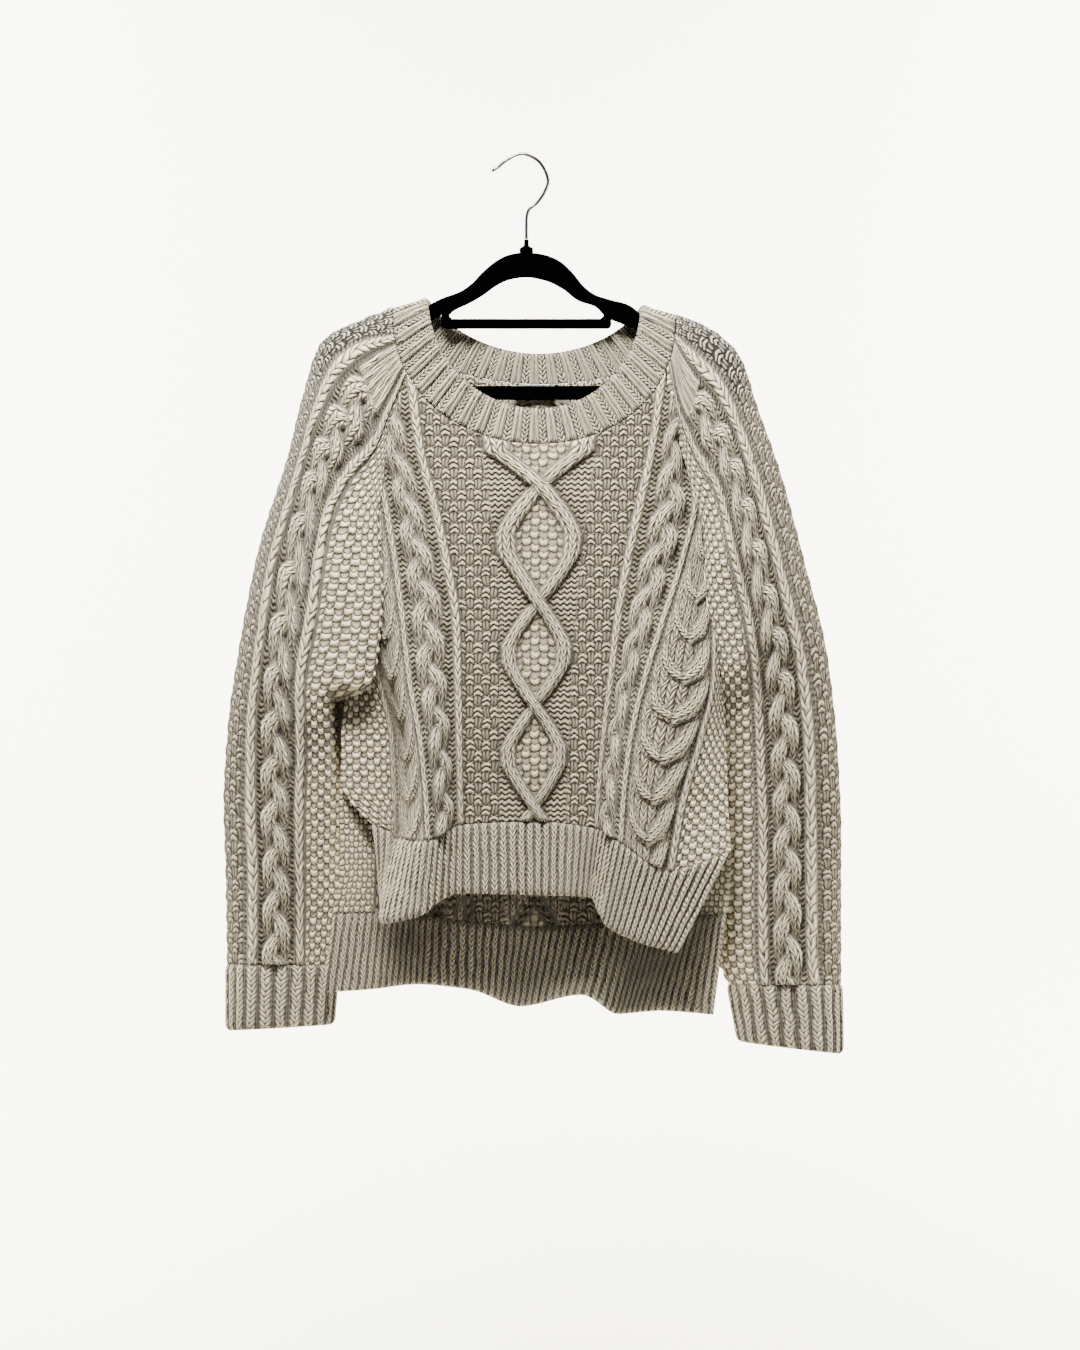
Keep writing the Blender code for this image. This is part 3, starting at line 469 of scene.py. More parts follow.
# %% Diamonds
def diamonds(chart, u, z, crossings, level, reach=30, half=8.2):
    """Two ropes that cross and part again, seed stitch between them and purl outside. They start
    as an open V above the first crossing."""
    z = np.broadcast_to(z, u.shape)
    step = np.interp(-z, [-c for c in crossings], range(len(crossings)))
    corner = 1 - np.abs(2 * np.mod(step, 1) - 1)
    spread = reach * (1 - np.clip(1 - corner / 0.85, 0, 1) ** 1.25)
    before = z > crossings[0]
    spread = np.where(before, np.clip((z - crossings[0]) / 34, 0, 1) * reach, spread)
    chart.ground(0.6 * step_up(spread - np.abs(u), 1, 4), SEED, 0.6, DIAMOND_GAUGE, level)
    for way in (-1, 1):
        sign = np.where(np.floor(step) % 2 == 0, way, -way)
        sign = np.where(before, -way, sign)
        above = way * np.where(np.round(step) % 2 == 0, 1, -1)
        over = above * 1.8 * np.exp(-(spread / 9) ** 2)
        chart.strand(u - sign * spread, half, 5.2, -z, lift=0.5 + over)


# %% The whole chart of the front and the back
LADDER_AT = (96.3, 136.2, 152.5)
MOSS_FROM, MOSS_TO, PLAIT_AT, HORSESHOE_AT, SEED_FROM = 40, 83, 116, 186, 232


def panel_chart(u, z, crossings, x):
    """The chart of the front or the back at the cloth places u, where they hang at x and z. Moss
    and purl keep their width in the folds, so they are counted along x."""
    side = np.abs(u)
    level = (x, np.broadcast_to(-z, u.shape))
    chart = Chart(u, -z)
    # The ladders are marked as open, and the material paints their gaps dark: painted shade inside
    # the garment.
    for ladder in LADDER_AT:
        chart.open += 0.6 * dome(side - ladder, 2.6)
    chart.ground(past(-side, -MOSS_FROM), PURL, 0.0, along=level)
    chart.ground(past(side, MOSS_FROM) * past(-side, -MOSS_TO), MOSS, 0.4, along=level)
    chart.ground(past(side, SEED_FROM), SEED, 0.4)
    diamonds(chart, u, z, crossings, level)
    grains(chart)
    for at in RIB_AT:
        chart.strand(side - at, 4.8, 3.2, -z, gauge=RIB_GAUGE)
    way = np.where(u < 0, -1, 1)
    plait(chart, way * (side - PLAIT_AT), -z + 7 * way)
    horseshoe(chart, side - HORSESHOE_AT, -z)
    return chart


across = np.linspace(-290, 290, 581)[None, :]
probe = panel_chart(across, np.full((1, 581), -500.0), FRONT["crossings"], across)
print("highest relief across the chest: %.1f mm" % probe.relief.max())

# %% [markdown]
# ## From a grid of places to a knitted wall
# Every piece is one closed wall: the outer side carries the relief, the inner side is plain and
# coarse. The points and faces are written to the mesh in one go with foreach_set, which is far
# quicker than adding them one by one. Stitch coordinates go in as a UV map and the kinds of
# stitch as a colour, so that one material can draw them all.

# %% Helpers for one wall
pieces = {}
STANDS_OUT = 2.2                       # mm above its neighbours at which a place is fully lit


def grid_normals(points, outward):
    """The direction in which the cloth faces at each place of a grid."""
    along = np.gradient(points, axis=1)
    down = np.gradient(points, axis=0)
    normal = outward * np.cross(along, down)
    return normal / np.maximum(np.linalg.norm(normal, axis=2, keepdims=True), 1e-9)


def soften(values, reach):
    """The mean of each value and its neighbours, up to a number of grid steps away."""
    for axis in (0, 1):
        pad = [(0, 0), (0, 0)]
        pad[axis] = (reach + 1, reach)
        total = np.cumsum(np.pad(values, pad, mode="edge"), axis=axis)
        size = values.shape[axis]
        upper = np.take(total, range(2 * reach + 1, 2 * reach + 1 + size), axis=axis)
        values = (upper - np.take(total, range(size), axis=axis)) / (2 * reach + 1)
    return values


def edge_roll(shape, edges, reach):
    """How far the outer side sinks towards a free edge, from 0 inside to 1 on the edge. edges
    names the sides that roll, and reach is a number of grid steps."""
    rows, columns = np.indices(shape)
    away = {"top": rows, "bottom": rows[::-1], "left": columns, "right": columns[:, ::-1]}
    nearest = np.min([away[edge] for edge in edges] + [np.full(shape, reach)], axis=0)
    return 1 - dome(1 - nearest / reach, 1)


def strip(fine, coarse, flip):
    """Triangles between a fine chain of points and a coarse one."""
    ratio = (len(fine) - 1) // (len(coarse) - 1)
    k = np.arange(len(fine) - 1)
    segment, step = k // ratio, k % ratio
    near = np.where(step < (ratio + 1) // 2, segment, segment + 1)
    thin = np.stack([fine[k], fine[k + 1], coarse[near]], axis=1)
    j = np.arange(len(coarse) - 1)
    wide = np.stack([coarse[j], fine[j * ratio + (ratio + 1) // 2], coarse[j + 1]], axis=1)
    made = np.concatenate([thin, wide])
    return made[:, ::-1] if flip else made


# %% Knit one wall
def knitted_wall(name, base, chart, outward, replaced, behind=None, step=4, period=None,
                 edge_normals=None, wall=CLOTH, rolled=(), roll_reach=3):
    """Mesh of one wall, in place of the solids' node replaced. A wall that closes on itself has a
    period, which is how many stitches it takes all round. behind is the chart of its inner side,
    which is otherwise plain purl, and step how many outer grid steps make an inner one. The wall
    also keeps how far each place stands above what is round it, because a hollow gets less
    light."""
    if behind is None:
        behind = Chart(chart.across, chart.down)
    spare = 2 if period else 0
    wide = np.concatenate([base[:, -2:], base, base[:, :2]], axis=1) if period else base
    normal = grid_normals(wide, outward)[:, spare:spare + base.shape[1]]
    if edge_normals is not None:
        normal[:, 0], normal[:, -1] = edge_normals
    roll = edge_roll(base.shape[:2], rolled, roll_reach)
    # At a rolled edge the two sides meet halfway through the wall.
    stand = chart.relief * (1 - roll) - roll * wall * 0.5
    depth = (wall + behind.relief) * (1 - 0.5 * roll)
    sides = ((chart, 1), (behind, step))

    def on_points(measure, width):
        """A measure of the chart at every point, the outer side's first."""
        return np.concatenate([measure(side)[::every, ::every].reshape(-1, width)
                               for side, every in sides])

    points = np.concatenate([place[::every, ::every].reshape(-1, 3) for place, every in
                             ((base + normal * stand[..., None], 1),
                              (base - normal * depth[..., None], step))]) + AXIS_FROM_APEX
    out = np.arange(stand.size).reshape(stand.shape)
    shape_in = stand[::step, ::step].shape
    back = stand.size + np.arange(math.prod(shape_in)).reshape(shape_in)
    if period:
        out, back = np.hstack([out, out[:, :1]]), np.hstack([back, back[:, :1]])
    quads = []
    for grid, flip in ((out, outward < 0), (back, outward > 0)):
        made = np.stack([grid[:-1, :-1], grid[:-1, 1:], grid[1:, 1:], grid[1:, :-1]], axis=-1)
        quads.append(made.reshape(-1, 4)[:, ::-1 if flip else 1])
    tris = [strip(out[0], back[0], outward > 0), strip(out[-1], back[-1], outward < 0)]
    if not period:
        tris += [strip(out[:, 0], back[:, 0], outward < 0),
                 strip(out[:, -1], back[:, -1], outward > 0)]
    quads, tris = np.concatenate(quads), np.concatenate(tris)
    mesh = mesh_from(name, points * MM, quads, tris)
    loops = np.concatenate([quads.ravel(), tris.ravel()])
    corner_uv = on_points(lambda side: side.stitch, 2)[loops]
    if period:
        faces = np.concatenate([np.repeat(np.arange(len(quads)), 4),
                                len(quads) + np.repeat(np.arange(len(tris)), 3)])
        highest = np.full(len(quads) + len(tris), -1e9)
        np.maximum.at(highest, faces, corner_uv[:, 0])
        corner_uv[:, 0] += period * (highest[faces] - corner_uv[:, 0] > period / 2)
    layer = mesh.uv_layers.new(name="stitches")
    layer.data.foreach_set("uv", corner_uv.astype(np.float32).ravel())
    kind = np.hstack([on_points(lambda side: side.kind, 3), on_points(lambda side: side.open, 1)])
    colour = mesh.color_attributes.new("stitch_kind", "FLOAT_COLOR", "POINT")
    colour.data.foreach_set("color", kind.astype(np.float32).ravel())
    keep(mesh, "raised", on_points(lambda side: np.clip(
        (side.relief - soften(side.relief, 5)) / STANDS_OUT, -1, 1), 1))
    print("%-18s %7d triangles" % (name, 2 * len(quads) + len(tris)))
    return add_piece(name, mesh, oatmeal, replaced)


# %% Mesh, values and piece
def mesh_from(name, points, quads, tris):
    """A smooth mesh, its points and faces written in one go each."""
    mesh = bpy.data.meshes.new(name)
    mesh.vertices.add(len(points))
    mesh.vertices.foreach_set("co", np.asarray(points, np.float32).ravel())
    loops = np.concatenate([quads.ravel(), tris.ravel()]).astype(np.int32)
    starts = np.concatenate([np.arange(len(quads)) * 4,
                             len(quads) * 4 + np.arange(len(tris)) * 3]).astype(np.int32)
    mesh.loops.add(len(loops))
    mesh.loops.foreach_set("vertex_index", loops)
    mesh.polygons.add(len(starts))
    mesh.polygons.foreach_set("loop_start", starts)
    mesh.update(calc_edges=True)
    mesh.validate()
    mesh.shade_smooth()
    return mesh


def keep(mesh, name, values):
    """Keep one number for each point, for the material to read."""
    mesh.attributes.new(name, "FLOAT", "POINT").data.foreach_set(
        "value", values.astype(np.float32).ravel())


def add_piece(name, data, material, replaced, place=(0, 0, 0), turned=(0, 0, 0)):
    """Put a mesh or a curve into the scene, in place of a node of the solids."""
    made = bpy.data.objects.new(name, data)
    made.location, made.rotation_euler = place, turned
    data.materials.append(material)
    bpy.context.scene.collection.objects.link(made)
    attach(made, "root")
    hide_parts(replaced)
    pieces[name] = made
    return made


# %% [markdown]
# ## Shader sums written as Python
# A node tree is a sum on paper, so it reads best as one. A Wire holds one socket, and the usual
# signs between wires add Math nodes. Every other kind of node comes from one method, which takes
# the node's settings and then its inputs.

# %% Wires and nodes
class Wire:
    """One value in a node tree."""

    def __init__(self, board, socket):
        self.board, self.socket = board, socket

    def math(self, operation, *others):
        values = dict(enumerate((self,) + others))
        return self.board.add("ShaderNodeMath", {"operation": operation}, values)

    def __add__(self, other):
        return self.math("ADD", other)

    def __sub__(self, other):
        return self.math("SUBTRACT", other)

    def __rsub__(self, other):
        return (self * -1).math("ADD", other)

    def __mul__(self, other):
        return self.math("MULTIPLY", other)

    def __truediv__(self, other):
        return self.math("DIVIDE", other)

    def __pow__(self, other):
        return self.math("POWER", other)

    __radd__, __rmul__ = __add__, __mul__

    def out(self, name):
        """Another output of the same node."""
        return Wire(self.board, self.socket.node.outputs[name])

    def arch(self):
        """0 at whole numbers and 1 halfway between them."""
        return (self.math("FRACT") * math.pi).math("SINE")

    def clamp(self):
        return self.board.add("ShaderNodeClamp", {}, {"Value": self})


class Board:
    """A material whose nodes are added by one method."""

    def __init__(self, name):
        self.material = bpy.data.materials.new(name)
        self.material.use_nodes = True
        self.tree = self.material.node_tree
        self.shader = self.tree.nodes["Principled BSDF"]

    def add(self, kind, settings, values):
        """A new node: its settings first, then the values or wires of its inputs."""
        node = self.tree.nodes.new(kind)
        for key, value in settings.items():
            setattr(node, key, value)
        self.feed(node, values)
        return Wire(self, next(o for o in node.outputs if o.enabled and not o.hide))

    def feed(self, node, values):
        """Set the inputs of a node, or link wires to them."""
        for key, value in values.items():
            if isinstance(value, Wire):
                self.tree.links.new(value.socket, node.inputs[key])
            else:
                node.inputs[key].default_value = value

    def place(self):
        """Where a point lies on its piece, in metres."""
        return self.add("ShaderNodeTexCoord", {}, {}).out("Object")

    def kept(self, name, output="Fac"):
        """What the mesh keeps under this name."""
        return self.add("ShaderNodeAttribute", {"attribute_name": name}, {}).out(output)

    def noise(self, place, scale, detail):
        """Soft noise about zero."""
        made = self.add("ShaderNodeTexNoise", {"noise_dimensions": "3D"},
                        {"Vector": place, "Scale": scale, "Detail": detail})
        return made.out("Fac") - 0.5

    def bump(self, height, distance, strength=1.0):
        return self.add("ShaderNodeBump", {}, {"Height": height, "Distance": distance,
                                               "Strength": strength})

    def mix(self, share, low, high):
        """Mix two colours."""
        return self.add("ShaderNodeMix", {"data_type": "RGBA"}, {0: share, 6: low, 7: high})

    def blend(self, share, low, high):
        """Mix two numbers."""
        return low + share * (high - low)


# %% [markdown]
# ## The yarn
# The yarn is a soft, matt, undyed wool. Its stitches are drawn in the bump: a knit stitch is two
# legs that lean together into a V, and a purl stitch a small arch. Seed stitch is round grains in
# a chequerboard, and moss stitch chooses between upright bars and flat caps in one. The same
# height darkens the gaps between the stitches, as loose fibres and shade do in real wool.

# %% Knit material
def colour(red, green, blue):
    """A colour as a socket takes it."""
    return (red, green, blue, 1.0)


# Painted light and shade in the yarn's colour: raised places and seed stitch painted lighter, moss
# and purl painted darker for the shade among their stitches, and painted shade deep in a fold.
LIGHT_ON = {"open": 0.8, "raised": 0.46, "seed": 0.22, "moss": -0.32, "purl": -0.24}
FOLD_DARK, HOLE_REACH = 0.34, 0.84     # shade deep in a fold; how far a stretched stitch opens


def knit_material(name, light, dark):
    board = Board(name)
    parts = board.add("ShaderNodeSeparateXYZ", {},
                      {0: board.add("ShaderNodeUVMap", {"uv_map": "stitches"}, {})})
    kind_colour = board.kept("stitch_kind", "Color")
    kinds = board.add("ShaderNodeSeparateColor", {}, {0: kind_colour})
    purl, moss, seed = (kinds.out(channel) for channel in ("Red", "Green", "Blue"))
    stretched, raised = kind_colour.out("Alpha"), board.kept("raised")
    deep = board.kept("fold_shade")

    place = board.place()
    s = parts.out("X") + board.noise(place, 70.0, 1.0) * 0.7
    r = parts.out("Y") + board.noise(place, 85.0, 1.0) * 0.7
    across = (s.math("FRACT") - 0.5).math("ABSOLUTE") * 2
    beside = ((across * 0.86 + 0.14) * math.pi).math("SINE").clamp() ** 0.6
    leg = ((r + across * 1.2).arch() ** 0.5) * beside
    wave = (s * (2 * math.pi)).math("COSINE")
    arches = ((r + wave * 0.2).arch() ** 0.8) * (0.8 + wave.math("ABSOLUTE") * 0.2)

    across_wave = (s * math.pi).math("SINE")
    down_wave = (r * (math.pi / 2)).math("SINE")
    bars = ((r / 2 + across * 0.3).arch() ** 0.4) * (beside ** 2.2)
    caps = ((r - wave * 0.2).arch() ** 0.8) * 1.1
    moss_height = board.blend((across_wave * down_wave * 5 + 0.6).clamp(), caps, bars)
    grain = across_wave * ((r + wave * 0.12) * math.pi).math("SINE") + 0.12
    seed_height = (grain.math("ABSOLUTE") ** 0.4) * (0.74 + (grain * 6).clamp() * 0.4)

    height = board.blend(purl.clamp(), leg, arches)
    height = board.blend(moss.clamp(), height, moss_height)
    height = board.blend(seed.clamp(), height, seed_height)

    fibre, blotch = board.noise(place, 900.0, 3.0), board.noise(place, 16.0, 3.0)
    lit = (height * 1.5 - 0.4 + fibre * 0.6 + blotch * 0.3).clamp()
    open_light = LIGHT_ON["open"]
    for what, measure in (("raised", raised), ("seed", seed), ("moss", moss), ("purl", purl)):
        open_light = open_light + measure * LIGHT_ON[what]
    open_light = open_light * (1 - deep * FOLD_DARK)
    yarn = board.mix(lit * open_light, dark, light)
    # Where stitches are pulled open their gaps are painted near-black: the black hanger behind the
    # shoulders, and painted shade inside the garment behind the ladders and the neckband's sunken
    # columns.
    hole = ((stretched * HOLE_REACH - height) * 7).clamp()
    board.feed(board.shader, {
        "Base Color": board.mix(hole, yarn, colour(0.02, 0.018, 0.016)),
        "Normal": board.bump(height + fibre * 0.35, 0.0026), "Roughness": 0.94,
        "Sheen Weight": 0.25, "Sheen Roughness": 0.45, "Specular IOR Level": 0.2})
    return board.material


oatmeal = knit_material("oatmeal_knit", colour(0.90, 0.80, 0.575), colour(0.05, 0.038, 0.022))
print("nodes in the knit material:", len(oatmeal.node_tree.nodes))

# %% [markdown]
# ## Front and back
# The panels are knitted flat from the rib up, so rows of stitches stay level while the ribs and
# cables converge towards the hem, where the folds gather them. The grid follows the stitches, about
# three points to a stitch, and the chart raises the cables out of it.

# %% Panels
def reverse_side(chart):
    """What the wrong side of a chart shows: knit for purl, purl for knit, cables as hollows."""
    behind = Chart(chart.across, chart.down)
    behind.stitch = chart.stitch.copy()
    behind.kind = chart.kind.copy()
    behind.kind[..., 0] = 1 - chart.kind.sum(axis=-1)
    behind.relief = -0.35 * soften(chart.relief, 1)
    return behind


PRESSED = {"at": -208, "half": 22, "flat": 0.75}     # the left horseshoe, beside the bulge


def panel(name, face, columns, rows, inner_step):
    u_line = np.linspace(LINE_AT[0], LINE_AT[-1], columns)
    start, end = top_edge(face, u_line), smooth(LINE_AT, face["end_z"], u_line)
    z = start + (end - start) * np.linspace(0, 1, rows)[:, None]
    u = np.broadcast_to(u_line, z.shape)
    base = hang(face, u.ravel(), z.ravel()).reshape(*z.shape, 3)
    chart = panel_chart(u, z, face["crossings"], base[..., 0])
    pressed = PRESSED["flat"] * dome(u - PRESSED["at"], PRESSED["half"])
    chart.relief *= step_up(np.minimum(start - z, z - end), -1, 3) * (1 - pressed)
    square = np.tile((0, -face["forward"], 0), (rows, 1))
    return knitted_wall(name + "_knit", base, chart, -face["forward"], name + "_panel",
                        reverse_side(chart), inner_step, edge_normals=(square, square))


front, back = panel("front", FRONT, 341, 261, 4), panel("back", BACK, 289, 229, 2)

# %% [markdown]
# ## Ribbed hems, cuffs and neckband
# A rib is one column of knit standing beside one of purl, which draws the cloth together. The
# ridges are raised as round bars with narrow valleys, and the free edge rolls in slightly, as a
# cast-off edge does.

# %% Rib chart
def rib_chart(place, down, ribs, height=2.8, share=0.39, shift=0.0):
    """place runs from 0 to 1 over a number of ribs; shift moves them by a share of a rib."""
    away = np.mod(place * ribs + shift, 1) - 0.5
    chart = Chart(np.zeros_like(place), down)
    chart.stitch[..., 0] = np.where(np.abs(away) < share, 0.5 + 0.5 * away / share, 2 * away)
    chart.kind[np.abs(away) < share] = KNIT
    chart.relief = height * dome(away, share) ** 0.8
    return chart


def band(top, low, rows, place):
    """The points between two edges, each one's place along them and how far down it lies."""
    share = np.linspace(0, 1, rows)[:, None, None]
    down = share[..., 0] * np.linalg.norm(low - top, axis=1)
    return top + (low - top) * share, np.broadcast_to(place, down.shape), down


# %% Hems
HEM_RIBS, RIB_STEPS = 56, 8


def hem(name, face, rows=33):
    place = np.linspace(0, 1, HEM_RIBS * RIB_STEPS + 1)
    u = np.linspace(LINE_AT[0], LINE_AT[-1], place.size)
    half = face["columns"]
    panel_u = np.array([-c for c in reversed(half) if c] + list(half), float)
    panel_end = hang(face, panel_u, smooth(LINE_AT, face["end_z"], panel_u))
    top = np.stack([np.interp(u, panel_u, panel_end[:, k]) for k in range(3)], axis=-1)
    top[:, 2] -= SEAM_GAP
    x, z, forward = (smooth(LINE_AT, column, u) for column in zip(*face["hem"]))
    low = np.stack([x, -face["forward"] * forward, z], axis=-1)
    base, place, down = band(top, low, rows, place)
    chart = rib_chart(place, down, HEM_RIBS)
    behind = rib_chart(place, down, HEM_RIBS, height=2.2, shift=0.5)
    chart.relief *= step_up(down, -1, 4)
    behind.relief *= step_up(down, 0, 6)
    return knitted_wall(name + "_hem_knit", base, chart, -face["forward"], name + "_hem_rib",
                        behind, 1, rolled=("bottom", "left", "right"))


front_hem, back_hem = hem("front", FRONT), hem("back", BACK)

# %% Neckband
NECK_RIBS = 46


def cord_chart(place, down, ribs, height=3.6):
    """Pairs of fine cords with a flat column of knit stitches between two pairs."""
    count = place * ribs
    away = np.mod(count, 1) - 0.5
    chart = Chart(np.zeros_like(place), down, KNIT)
    flat = np.mod(count + 0.5, 1) - 0.5
    chart.stitch[..., 0] = 0.5 + flat / 0.48
    chart.relief = 0.6 * dome(flat, 0.24)
    for middle in (-0.12, 0.12):
        cord = dome(away - middle, 0.12)
        chart.cover(cord, height * cord, 0.5 + (away - middle) / 0.24, down / CORD_GAUGE[1])
    # The flat columns are sunk and marked as open, so the material paints them dark: painted shade
    # between the cords.
    chart.relief -= 0.8 * (chart.relief < 0.7)
    chart.open += 0.8 * (chart.relief < 0.7)
    return chart


def neckband(rows=21):
    place = np.arange(NECK_RIBS * 14) / (NECK_RIBS * 14)
    angle = np.linspace(0, 2 * math.pi, place.size, endpoint=False)
    base, place, down = band(neck_curve("edge", angle), neck_curve("seam", angle), rows, place)
    chart = cord_chart(place, down, NECK_RIBS)
    behind = cord_chart(place, down, NECK_RIBS, height=1.6)
    chart.relief *= step_up(down[-1] - down, 0, 3)
    return knitted_wall("neckband_knit", base, chart, 1, "neckband", behind, 1,
                        2.0 * NECK_RIBS, wall=NECK_WALL, rolled=("top",))


neck = neckband()

# %% [markdown]
# ## Sleeves
# A raglan sleeve starts as a point at the neck, so its cables fan out over the shoulder and its
# stitches are pulled open there, where the hanger shows dark between them. Two ribs run down its
# middle with a plait between them, basket stitch outside and seed stitch inside.

# %% Sleeve chart
FAN, BESIDE_RIB = 60, 8                # mm of open fan above the plait, and from rib to ladder


def sleeve_chart(columns, along, side, height):
    u = np.interp(place_of(columns), SLEEVE_PLACES, SLEEVE_AROUND[side])
    u, down = np.broadcast_arrays(u, along[:, None])
    chart = Chart(u, down)
    rib_in, rib_out = SLEEVE_AROUND[side][1:3]
    middle = (rib_in + rib_out) / 2
    # The ladders are marked as open, and the material paints their gaps dark: painted shade inside
    # the sleeve.
    for ladder in (rib_in + BESIDE_RIB, rib_out - BESIDE_RIB):
        chart.open += 0.6 * dome(u - ladder, 2.4)
    chart.ground(past(-u, BESIDE_RIB - rib_in), SEED, 0.4, BULGE_GAUGE, (u, -height))
    chart.ground(past(u, rib_out + BESIDE_RIB), MOSS, 0.4)
    grains(chart)
    chart.open = np.maximum(chart.open, shoulder_gaps(columns, along))
    for at in (rib_in, rib_out):
        chart.strand(u - at, 5.2, 3.2, down, gauge=RIB_GAUGE)
    crossed = Chart(u, down)
    plait(crossed, u - middle, down - FAN, half=16, period=44)
    plaited = (crossed.relief > 0) & (down > FAN)
    chart.relief = np.where(plaited, crossed.relief, chart.relief)
    chart.kind[plaited], chart.stitch[plaited] = KNIT, crossed.stitch[plaited]
    for k in range(5):
        away = np.where(down > FAN, 99, u - middle - (k - 2) * CORD_GAUGE[0])
        chart.strand(away, CORD_GAUGE[0] / 2, 4.2, down, gauge=CORD_GAUGE)
    return chart


def shoulder_gaps(columns, along):
    """How far the knit is stretched open over the shoulder."""
    place = place_of(columns)
    outside = step_up(place, 2.08, 2.2)
    between = step_up(place, 1.76, 1.8) * step_up(-place, -1.97, -1.9)
    near = step_up(-along, -170, -95)[:, None]
    return near * (outside + 0.7 * between)[None, :]


# %% Sleeves and cuffs
CUFF_RIBS = 22


def sleeve(side, hand, rows=349):
    around = SLEEVE_AROUND[side]
    half = np.interp(np.linspace(0, around[-1], 103), around, SLEEVE_PLACES)
    columns = np.concatenate([half, 6 - half[-2::-1]])
    base, along = sleeve_base(side, columns, rows)
    tube = np.interp(-base[:, 0, 2], (-UPPER_END, -UNDERARM), (0, 1))[:, None]
    edges = []
    for way in (-1, 1):
        normal = tube * np.array([-side, 0, 0]) + (1 - tube) * np.array([0, way, 0])
        edges.append(normal / np.linalg.norm(normal, axis=1, keepdims=True))
    chart = sleeve_chart(columns, along, side, base[..., 2])
    chart.relief *= step_up(np.minimum(along, along[-1] - along), -1, 3)[:, None]
    return knitted_wall("sleeve_" + hand + "_knit", base, chart, -side, "sleeve_" + hand,
                        edge_normals=edges)


def cuff(side, hand, rows=25):
    place = np.arange(CUFF_RIBS * RIB_STEPS) / (CUFF_RIBS * RIB_STEPS)
    turn = np.linspace(0, 2 * math.pi, place.size, endpoint=False)

    def ring(row):
        s = dict(zip(LOWER_COLUMNS, row))
        swell = np.where(np.sin(turn) > 0, -s["swell_f"], s["swell_b"])
        way = (1 - np.cos(turn)) / 2
        return np.stack([s["top_x"] + (s["inner_x"] - s["top_x"]) * way,
                         s["top_y"] + swell * np.abs(np.sin(turn)),
                         s["top_z"] + (s["inner_z"] - s["top_z"]) * way], axis=-1)

    top = ring(LOWER[side][-1]) - np.array([0, 0, SEAM_GAP])
    base, place, down = band(top, ring(CUFF_END[side]), rows, place)
    chart = rib_chart(place, down, CUFF_RIBS)
    chart.relief *= step_up(down, 0, 4)
    behind = rib_chart(place, down, CUFF_RIBS, height=2.0, shift=0.5)
    return knitted_wall("cuff_" + hand + "_knit", base, chart, side, "cuff_" + hand, behind, 1,
                        2.0 * CUFF_RIBS, rolled=("bottom",))


sleeves = {hand: sleeve(side, hand) for side, hand in SIDES}
cuffs = {hand: cuff(side, hand) for side, hand in SIDES}

# %% [markdown]
# ## Shade in the folds
# Deep between two folds a garment is darker, because less of the room lights it. For the front
# and the back the points nearest to the viewer make a height map, and its soft mean says how high
# the cloth is round each place. What lies below that mean is in the shade of its neighbours, and
# most of all of those above it.

# %% Shade in the folds
def sample(grid, row, column):
    """The value between four cells of a grid."""
    row = np.clip(row, 0, grid.shape[0] - 1.001)
    column = np.clip(column, 0, grid.shape[1] - 1.001)
    i, j = row.astype(int), column.astype(int)
    a, b = row - i, column - j
    return ((grid[i, j] * (1 - b) + grid[i, j + 1] * b) * (1 - a)
            + (grid[i + 1, j] * (1 - b) + grid[i + 1, j + 1] * b) * a)


def shade_folds(made, cell=6.0, reach=5, above=14.0, deepest=30.0, beyond=-60.0, inside_least=0.3):
    """Keep on each piece how deep each of its points lies among the folds, from 0 to 1. The map's
    cells, and how far above a place it is read, are in mm. The front of the back panel is inside
    the garment, so it is never fully lit."""
    found = []
    for piece in made:
        values = np.empty(len(piece.data.vertices) * 3, np.float32)
        piece.data.vertices.foreach_get("co", values)
        points = values.reshape(-1, 3) / MM
        piece.data.vertices.foreach_get("normal", values)
        found.append((points, values.reshape(-1, 3)[:, 1].copy()))
    every = np.concatenate([points for points, _ in found])
    low = every.min(axis=0) - 4 * cell
    size = ((every.max(axis=0) + 4 * cell - low) / cell).astype(int) + 1
    shade = [np.zeros(len(points), np.float32) for points, _ in found]
    for side in (-1, 1):
        nearest = np.full((size[2], size[0]), beyond)
        rows, columns = (((every[:, k] - low[k]) / cell).astype(int) for k in (2, 0))
        np.maximum.at(nearest, (rows, columns), side * every[:, 1])
        around = soften(nearest, reach)
        for k, (points, facing) in enumerate(found):
            mean = sample(around, (points[:, 2] + above - low[2]) / cell - 0.5,
                          (points[:, 0] - low[0]) / cell - 0.5)
            least = inside_least if made[k] is back and side < 0 else 0
            deep = np.clip((mean - side * points[:, 1]) / deepest, least, 1)
            shade[k] = np.where(facing * side > 0, deep, shade[k])
    for piece, values in zip(made, shade):
        keep(piece.data, "fold_shade", values)
    return np.concatenate(shade)


depths = shade_folds([piece for piece in pieces.values() if piece is not neck])
print("points deep in a fold: %.0f%%" % (100 * (depths > 0.5).mean()))

# %% [markdown]
# ## The hanger
# A slim moulded hanger is one flat plate with a flock of short black fibres on it. A filled 2D
# curve with a small bevel gives its soft edges, holes and all. The hook is a bent steel wire, and
# a short turned sleeve holds it.

